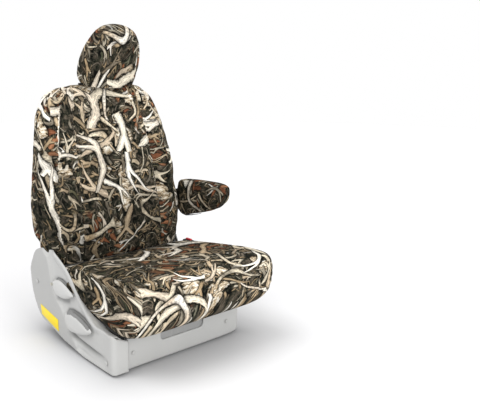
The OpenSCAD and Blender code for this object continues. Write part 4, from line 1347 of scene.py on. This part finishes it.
def shield_height(flat):
    """How far the outboard shield stands out. flat is (distance forwards, height)."""
    yz = np.stack([-flat[:, 0], flat[:, 1]], axis=1)
    ridge, crease, run = shield_lines(yz)
    h = -7.0 + 6.6 * smooth((ridge + 11) / 18) + 1.8 * np.exp(-((ridge - 2) / 7) ** 2)
    h -= 1.6 * (1 - smooth((outside(yz, UPPER_PADDLE) - 2) / 12))
    h -= 1.6 * (1 - smooth((outside(yz, LOWER_PADDLE) - 2) / 14))
    wedge = np.where(crease > 2, np.exp(-((crease - 2) / 5) ** 2), np.exp(-((crease - 2) / 10) ** 2))
    h += run * (-8.0 * wedge + 2.5 * np.exp(-((crease + 16) / 8) ** 2))
    edge, _ = segment_distance(yz, SHIELD_FRONT)
    flush = smooth((edge - 6) / 24) * smooth((218 - flat[:, 0]) / 50)
    edge, _ = segment_distance(yz, [(-240, SKIRT_GAP), (-60, SKIRT_GAP)] + SHIELD_REAR)
    flush *= smooth((edge - 4) / 20)
    return np.minimum(h, 0.0) * flush


def shield_shadow(points):
    """Painted shade on the shield, 0 to 1: in the gaps above the paddles, under the upper paddle, along
    the crease, and over the rear part behind the ridge.
    """
    yz = points[:, 1:]
    ridge, crease, run = shield_lines(yz)
    near = [segment_distance(yz, line)[0] for line in (UPPER_GAP, UPPER_UNDER, LOWER_GAP)]
    # painted shade: the rear part behind the ridge darker, the front part a little darker away from the
    # ridge
    dark = 0.22 * smooth(ridge / 10) + 0.10 * smooth((-ridge - 16) / 30)
    # painted shadows in the gaps above the paddles and under the upper paddle
    dark += 0.85 * np.exp(-(near[0] / 3.0) ** 2) + 0.55 * np.exp(-(near[1] / 9.0) ** 2)
    dark += 0.75 * np.exp(-(near[2] / 4.5) ** 2)
    # painted shadow in the crease
    dark += 0.75 * run * np.where(crease > 3, np.exp(-((crease - 3) / 4) ** 2),
                                  np.exp(-((crease - 3) / 11) ** 2))
    return np.clip(dark, 0, 1) * smooth((points[:, 1] + 236) / 16)


def shadowed(obj, amount):
    """Stores painted shade, how dark each spot is, for the plastic to pick up."""
    layer = obj.data.attributes.new("shadow", "FLOAT", "POINT")
    layer.data.foreach_set("value", np.asarray(amount(points_of(obj)), float))


def shield_place(flat, out):
    """Wraps the shield's flat pattern round the front corner."""
    u, z = flat[:, 0], flat[:, 1]
    a = np.clip((u - WRAP_AT) / CORNER_R, 0, math.pi / 2)
    past = np.maximum(u - WRAP_AT - WRAP_ARC, 0)
    before = np.minimum(u, WRAP_AT)
    r = CORNER_R + out
    x = -TRIM_X + CORNER_R - np.cos(a) * r + past
    y = -(before + np.sin(a) * r)
    return np.stack([x, y, z], axis=1)


def outboard_trim():
    front = WRAP_AT + WRAP_ARC
    outline = [(238 - CORNER_R - 10, SKIRT_GAP), (60, SKIRT_GAP)]
    outline += [(-y, z) for y, z in refine(SHIELD_REAR, 5)]
    outline += [(-y, z) for y, z in refine(SHIELD_TOP, 5)]
    outline += [(-y, z) for y, z in refine(SHIELD_FRONT, 5)]
    outline += [(160, 134), (200, 134), (WRAP_AT, 137), (WRAP_AT + WRAP_ARC * 0.5, 135),
                (front, 128), (front + 16, 122), (front + 44, 112), (front + 45, SKIRT_GAP)]
    obj = pressed_sheet("outboard_shield", outline, 3.2, shield_height, shield_place, TRIM_WALL,
                        3.5, TRIM)
    # painted shade for the shield's gaps, crease and rear part
    shadowed(obj, shield_shadow)
    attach(obj, "seat")
    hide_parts("outboard_trim")
    for node, y in (("rear", 151.5), ("mid", -18.5), ("front", -148.5)):
        low = 62 if node == "rear" else 20
        high = 258 if node == "rear" else 118
        rib = [(-TRIM_X + 20, y, low), (-TRIM_X + 20, y, high)]
        piece = tube("shield_rib_" + node, resample(rib, 20), 6.0, TRIM, flat=0.22, up=(0, 1, 0))
        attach(piece, "seat")


def inboard_trim():
    outline = [(-184, SKIRT_GAP), (-60, SKIRT_GAP), (60, 22), (160, 46)]
    outline += [tuple(p) for p in refine([(229, 68), (278, 140), (294, 226), (258, 288),
                                          (200, 304), (146, 290)], 5)]
    outline += [tuple(p) for p in refine([(134, 262), (124, 186), (60, 142), (0, 128),
                                          (-184, 110)], 5)]

    def height(p):
        d, _ = segment_distance(p, [(230, 290), (180, 200), (90, 120), (0, 84), (-180, 70)])
        return -3.0 + 2.4 * np.exp(-(d / 16) ** 2)

    def place(p, out):
        return np.stack([TRIM_X + out, p[:, 0], p[:, 1]], axis=1)

    obj = pressed_sheet("inboard_shield", outline, 5.0, height, place, TRIM_WALL, 3.0, TRIM)
    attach(obj, "seat")
    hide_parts("inboard_trim")


def strip(name, outer, inner, bulge, wall, material, columns=8):
    """Curved strip between two edges, bulged upwards between them."""
    outer, inner = refine(outer, 6), refine(inner, 6)
    points, faces = [], []
    for a, b in zip(outer, inner):
        for k in range(columns):
            t = k / (columns - 1)
            points.append(a + (b - a) * t + np.array((0, 0, bulge * math.sin(math.pi * t))))
    for i in range(len(outer) - 1):
        for k in range(columns - 1):
            a = i * columns + k
            faces.append((a, a + 1, a + columns + 1, a + columns))
    obj = new_object(name, points, faces, material)
    work = bmesh.new()
    work.from_mesh(obj.data)
    bmesh.ops.recalc_face_normals(work, faces=work.faces)
    if sum(f.normal.z for f in work.faces) < 0:
        bmesh.ops.reverse_faces(work, faces=work.faces)
    work.to_mesh(obj.data)
    work.free()
    m = obj.modifiers.new("wall", "SOLIDIFY")
    m.thickness, m.offset = wall * MM, -1.0
    bake_modifiers(obj)
    soften_shading(obj, 60)
    return obj


def shield_shoulder():
    """Inward shoulder along the shield's front top, where it meets the cushion."""
    outer = [(-287, -40, 206), (-286, -80, 172), (-285, -134, 139), (-284, -165, 132),
             (-284, -205, 132), (-281, -224, 135), (-274, -231, 133), (-262, -231, 126),
             (-246, -231, 113)]
    inner = [(-284, -40, 204), (-270, -80, 166), (-259, -134, 134), (-256, -168, 124),
             (-256, -205, 123), (-256, -212, 124), (-255, -213, 122), (-252, -213, 117),
             (-246, -213, 110)]
    obj = strip("shield_shoulder", outer, inner, 1.0, 2.5, TRIM)
    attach(obj, "seat")


def notch_liner():
    """Plain panel behind the valance's notch, darkened all over with painted shade."""
    outline = [(-100, 62), (100, 62), (100, 112), (-100, 112)]

    def height(p):
        fin = np.exp(-((np.mod(p[:, 0] + 14, 57) - 28) / 7) ** 4)
        return 1.6 - 2.6 * fin

    def place(p, out):
        return np.stack([p[:, 0], -219.0 + out, p[:, 1]], axis=1)

    obj = pressed_sheet("notch_liner", outline, 3.0, height, place, 1.5, 1.0, TRIM)
    # painted shade: the whole panel darkened as if in the notch's shadow
    shadowed(obj, lambda p: np.full(len(p), 0.42))
    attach(obj, "seat")


def tuck_flap():
    """Flap of cover fabric from the cushion's rear edge down into the crease."""
    rear, high = 82.0, CUSHION_TOP - 12 - CUSHION_TILT * 82
    profile = refine([(rear, high - 3), (rear + 10, high + 1), (102, 269.5), (112, 264.5),
                      (126, 262), (142, 268), (150, 282)], 5)
    low, wide = -284.0, 285.0
    xs = np.linspace(low, wide, 140)
    points, faces = [], []
    k = len(profile)
    for x in xs:
        sag = 1.2 * math.sin(x / 23.0) + 0.8 * math.sin(x / 9.7)
        ease = smooth(np.array([min(x - low, wide - x) / 24]))[0]
        for j, (y, z) in enumerate(profile):
            points.append((x, y - (1 - ease) * 8, z - (1 - ease) * 9 + sag * 0.5 * j / k))
    for i in range(len(xs) - 1):
        for j in range(k - 1):
            a = i * k + j
            faces.append((a, a + k, a + k + 1, a + 1))
    obj = new_object("cushion_tuck_flap", points, faces, FABRIC)
    if sum(p.normal.z for p in obj.data.polygons) < 0:
        obj.data.flip_normals()
    m = obj.modifiers.new("wall", "SOLIDIFY")
    m.thickness, m.offset = 2.0 * MM, -1.0
    bake_modifiers(obj)
    print_map(obj, (lambda c, n: np.zeros(len(c), int),
                    lambda q, p: np.stack([p[:, 0] + 700, p[:, 1] - p[:, 2] + 2300], axis=1)))
    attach(obj, "seat")


VALANCE_PATH = [(-229, -226), (-150, -226), (0, -226), (120, -226), (200, -225), (256, -220),
                (281, -208), (291, -190)]


def front_valance():
    path = resample(refine(VALANCE_PATH, 8), 2.0)
    lengths = np.r_[0, np.cumsum(np.linalg.norm(np.diff(path, axis=0), axis=1))]
    ahead = np.gradient(path, axis=0)
    ahead /= np.linalg.norm(ahead, axis=1)[:, None]
    start = path[0, 0]

    def place(p, out):
        s = p[:, 0] - start
        x, y = (np.interp(s, lengths, path[:, k]) for k in (0, 1))
        nx, ny = np.interp(s, lengths, ahead[:, 1]), -np.interp(s, lengths, ahead[:, 0])
        return np.stack([x + nx * out, y + ny * out, p[:, 1]], axis=1)

    end = start + lengths[-1]
    notch = [(96, 112), (96, 96), (94, 78), (88, 71), (80, 70), (-80, 70), (-87, 71), (-93, 78),
             (-94, 96), (-94, 112)]
    outline = [(start, SKIRT_GAP), (end, SKIRT_GAP), (end, 110)] + notch + [(start, 112)]

    def height(p):
        d, _ = segment_distance(p, [(-94, 112), (-94, 70), (96, 70), (96, 112)])
        return -1.0 + 1.0 * np.exp(-(d / 7) ** 2) - 0.8 * smooth((20 - p[:, 1]) / 14)

    obj = pressed_sheet("front_valance_panel", outline, 4.0, height, place, TRIM_WALL, 2.2, TRIM)
    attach(obj, "seat")
    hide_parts("front_valance")


def paddle(name, node, body, outline, ribs):
    """Lever paddle: a domed shell on its pivot, ribbed where fingers lift it, the ribbed band darker
    grey as painted shade.
    """
    low, deep = -TRIM_X - 3.5, 7.7 if ribs else 8.7
    outline = [tuple(p) for p in outline]
    rim = np.array(outline + outline[:1])

    def height(p):
        d, _ = segment_distance(p, rim)
        t = np.clip(d / 26, 0, 1)
        h = deep * np.sqrt(np.clip(1 - (1 - t) ** 2, 0, 1)) - 1.0
        if ribs:
            line, _ = segment_distance(p, GRIP_LINE)
            band = 1 - smooth((line - 5) / 6)
            h -= band * (2.4 + 0.6 * np.sin((p[:, 0] - p[:, 1] * 0.4) * 2 * np.pi / 8.0))
        return np.maximum(h, -1.0)

    def place(p, out):
        return np.stack([low - out, p[:, 0], p[:, 1]], axis=1)

    obj = pressed_sheet(name, outline, 2.4, height, place, 1.2, 0.6, LEVER)
    # painted shade: the ribbed band takes the darker grey copy of the lever plastic
    if ribs:
        obj.data.materials.append(SHADED_GRIP)
        for f in obj.data.polygons:
            c = np.array(f.center) / MM
            d, _ = segment_distance(c[None, 1:], GRIP_LINE)
            if d[0] < 6.5:
                f.material_index = 1
    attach(obj, body)
    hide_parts(node)


# ---------------------------------------------------------------- small parts

def rounded_parts():
    """Moulded and pressed parts whose CAD shape only needs its edges broken."""
    for name, node, body, material, slot, radius in [
        ("strap_buckle_pair", "strap_buckles", "seat", DARK, "dark_plastic", 1.2),
        ("belt_buckle_body", "buckle_head", "seat", DARK, "dark_plastic", 2.0),
        ("belt_buckle_button", "buckle_button", "button", RED, "button_red", 1.2),
        ("belt_buckle_stalk", "buckle_stalk", "seat", WEBBING, "dark_plastic", 0.8),
        ("shield_tag", "side_tag", "seat", TAG, "tag", 0.25),
        ("trim_push_screws", "trim_screws", "seat", SCREW, "screw_plastic", 0.8),
        ("headrest_guide_sleeves", "headrest_guides", "back", DARK, "dark_plastic", 0.6),
        ("headrest_lock_button", "headrest_lock", "lock_button", DARK, "dark_plastic", 0.5),
    ]:
        obj = rounded_copy(name, node, material, radius, 2)
        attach(obj, body)
        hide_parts(node)


def strap_path():
    return [(-235, 130), (-227, 116), (-180, 114.8), (-90, 114.8), (0, 114.8), (30, 126),
            (56, 139), (58, 160)]


def straps():
    """Webbing straps under the cushion."""
    for name, side in (("outboard", -1), ("inboard", 1)):
        x0 = CUSHION_X + side * 110
        path = resample(refine(strap_path(), 6), 3.0)
        ahead = np.gradient(path, axis=0)
        ahead /= np.linalg.norm(ahead, axis=1)[:, None]
        lift = np.stack([-ahead[:, 1], ahead[:, 0]], axis=1)
        across = np.linspace(-12.5, 12.5, 9)
        points, faces = [], []
        m, k = len(path), len(across)
        for face in (1, -1):
            for i in range(m):
                wave = 0.25 * math.sin(i * 0.9)
                for a in across:
                    thick = face * (0.9 - 0.25 * (abs(a) / 12.5) ** 4) + wave
                    points.append((x0 + a, path[i, 0] + lift[i, 0] * thick,
                                   path[i, 1] + lift[i, 1] * thick))
        for i in range(m - 1):
            for j in range(k - 1):
                a = i * k + j
                faces.append((a, a + 1, a + k + 1, a + k))
                b = m * k + a
                faces.append((b, b + k, b + k + 1, b + 1))
            for j in (0, k - 1):
                a = i * k + j
                faces.append((a, a + k, m * k + a + k, m * k + a))
        for i in (0, m - 1):
            for j in range(k - 1):
                a = i * k + j
                faces.append((a, a + 1, m * k + a + 1, m * k + a))
        obj = new_object("cushion_strap_" + name, points, faces, WEBBING)
        work = bmesh.new()
        work.from_mesh(obj.data)
        bmesh.ops.recalc_face_normals(work, faces=work.faces)
        work.to_mesh(obj.data)
        work.free()
        soften_shading(obj, 60)
        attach(obj, "seat")
        if side < 0:
            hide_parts("cushion_straps")


def closures():
    """Hook-and-loop strips, each a soft strip with its edges bound."""
    for name, node, body in (("back_closure_strip", "back_closure", "back"),
                             ("headrest_closure_strip", "headrest_closure", "head"),
                             ("armrest_closure_strip", "armrest_closure", "arm")):
        obj = rounded_copy(name, node, BINDING, 0.8, 2)
        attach(obj, body)
        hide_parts(node)


def dress_cad_nodes():
    """Materials for the CAD nodes that stay."""
    looks = {
        STEEL: ["lower_rail_outboard", "lower_rail_inboard", "front_riser_outboard",
                "front_riser_inboard", "front_cross_tube", "rear_cross_tube", "cushion_pan",
                "recliner_outboard", "recliner_inboard", "back_frame", "armrest_bracket",
                "armrest_frame"],
        ZINC: ["upper_rail_outboard", "upper_rail_inboard", "recliner_pins", "recline_shaft",
               "recliner_arms", "slide_bar", "buckle_bolt", "armrest_bolt", "back_springs"],
        NYLON: ["rail_glides"],
        CHROME: ["headrest_posts"],
    }
    for material, nodes in looks.items():
        for node in nodes:
            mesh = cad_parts[node].data
            mesh.materials.clear()
            mesh.materials.append(material)


# ---------------------------------------------------------------- studio

def camera():
    cam = bpy.data.objects.new("camera", bpy.data.cameras.new("camera"))
    bpy.context.scene.collection.objects.link(cam)
    turn, dip = math.radians(38), math.radians(12)
    forward = Vector((math.sin(turn) * math.cos(dip), math.cos(turn) * math.cos(dip),
                      -math.sin(dip)))
    cam.location = (-1.3071, -1.7204, 0.950)
    cam.rotation_euler = forward.to_track_quat("-Z", "Y").to_euler()
    cam.data.sensor_width, cam.data.lens = 36.0, 47.25
    cam.data.shift_x, cam.data.shift_y = 0.1875, -0.004
    cam.data.clip_end = 60.0
    bpy.context.scene.camera = cam


def area_light(name, place, aim, size, power, colour=(1, 1, 1)):
    light = bpy.data.lights.new(name, "AREA")
    light.shape, light.size, light.energy, light.color = "DISK", size, power, colour
    obj = bpy.data.objects.new(name, light)
    obj.location = place
    obj.rotation_euler = (Vector(aim) - Vector(place)).to_track_quat("-Z", "Y").to_euler()
    bpy.context.scene.collection.objects.link(obj)


def sun_light(name, towards, strength, spread):
    """Broad soft light from one side; towards points at it."""
    light = bpy.data.lights.new(name, "SUN")
    light.energy, light.angle = strength, math.radians(spread)
    obj = bpy.data.objects.new(name, light)
    obj.rotation_euler = Vector(towards).to_track_quat("Z", "Y").to_euler()
    bpy.context.scene.collection.objects.link(obj)


def studio():
    scene = bpy.context.scene
    world = bpy.data.worlds.new("studio")
    scene.world = world
    world.use_nodes = True
    back = world.node_tree.nodes["Background"]
    back.inputs[0].default_value = (1.0, 1.0, 1.0, 1.0)
    back.inputs[1].default_value = 1.0
    scene.view_settings.view_transform = "Standard"
    scene.view_settings.look = "None"
    sun_light("key", (-0.8, 0.25, 1.5), 1.15, 34)
    area_light("soft_box", (-0.4, -3.2, 1.6), (0, 0, 0.35), 1.6, 40)
    n, reach = 48, 9.0
    points, faces = [(0.0, 0.0, 0.0)], []
    for k in range(n):
        a = 2 * math.pi * k / n
        points.append((reach * math.cos(a) / MM, reach * math.sin(a) / MM, 0.0))
        faces.append((0, k + 1, (k + 1) % n + 1))
    floor = new_object("studio_floor", points, faces, floor_paint("floor_paint"), False)


def main():
    camera()
    studio()
    cushion_cover()
    back_cover()
    headrest_cover()
    armrest_cover()
    foams()
    outboard_trim()
    shield_shoulder()
    inboard_trim()
    front_valance()
    notch_liner()
    tuck_flap()
    paddle("recline_paddle", "recline_lever", "recline_handle", UPPER_PADDLE, False)
    paddle("entry_paddle", "entry_lever", "entry_handle", LOWER_PADDLE, True)
    rounded_parts()
    straps()
    closures()
    dress_cad_nodes()


main()
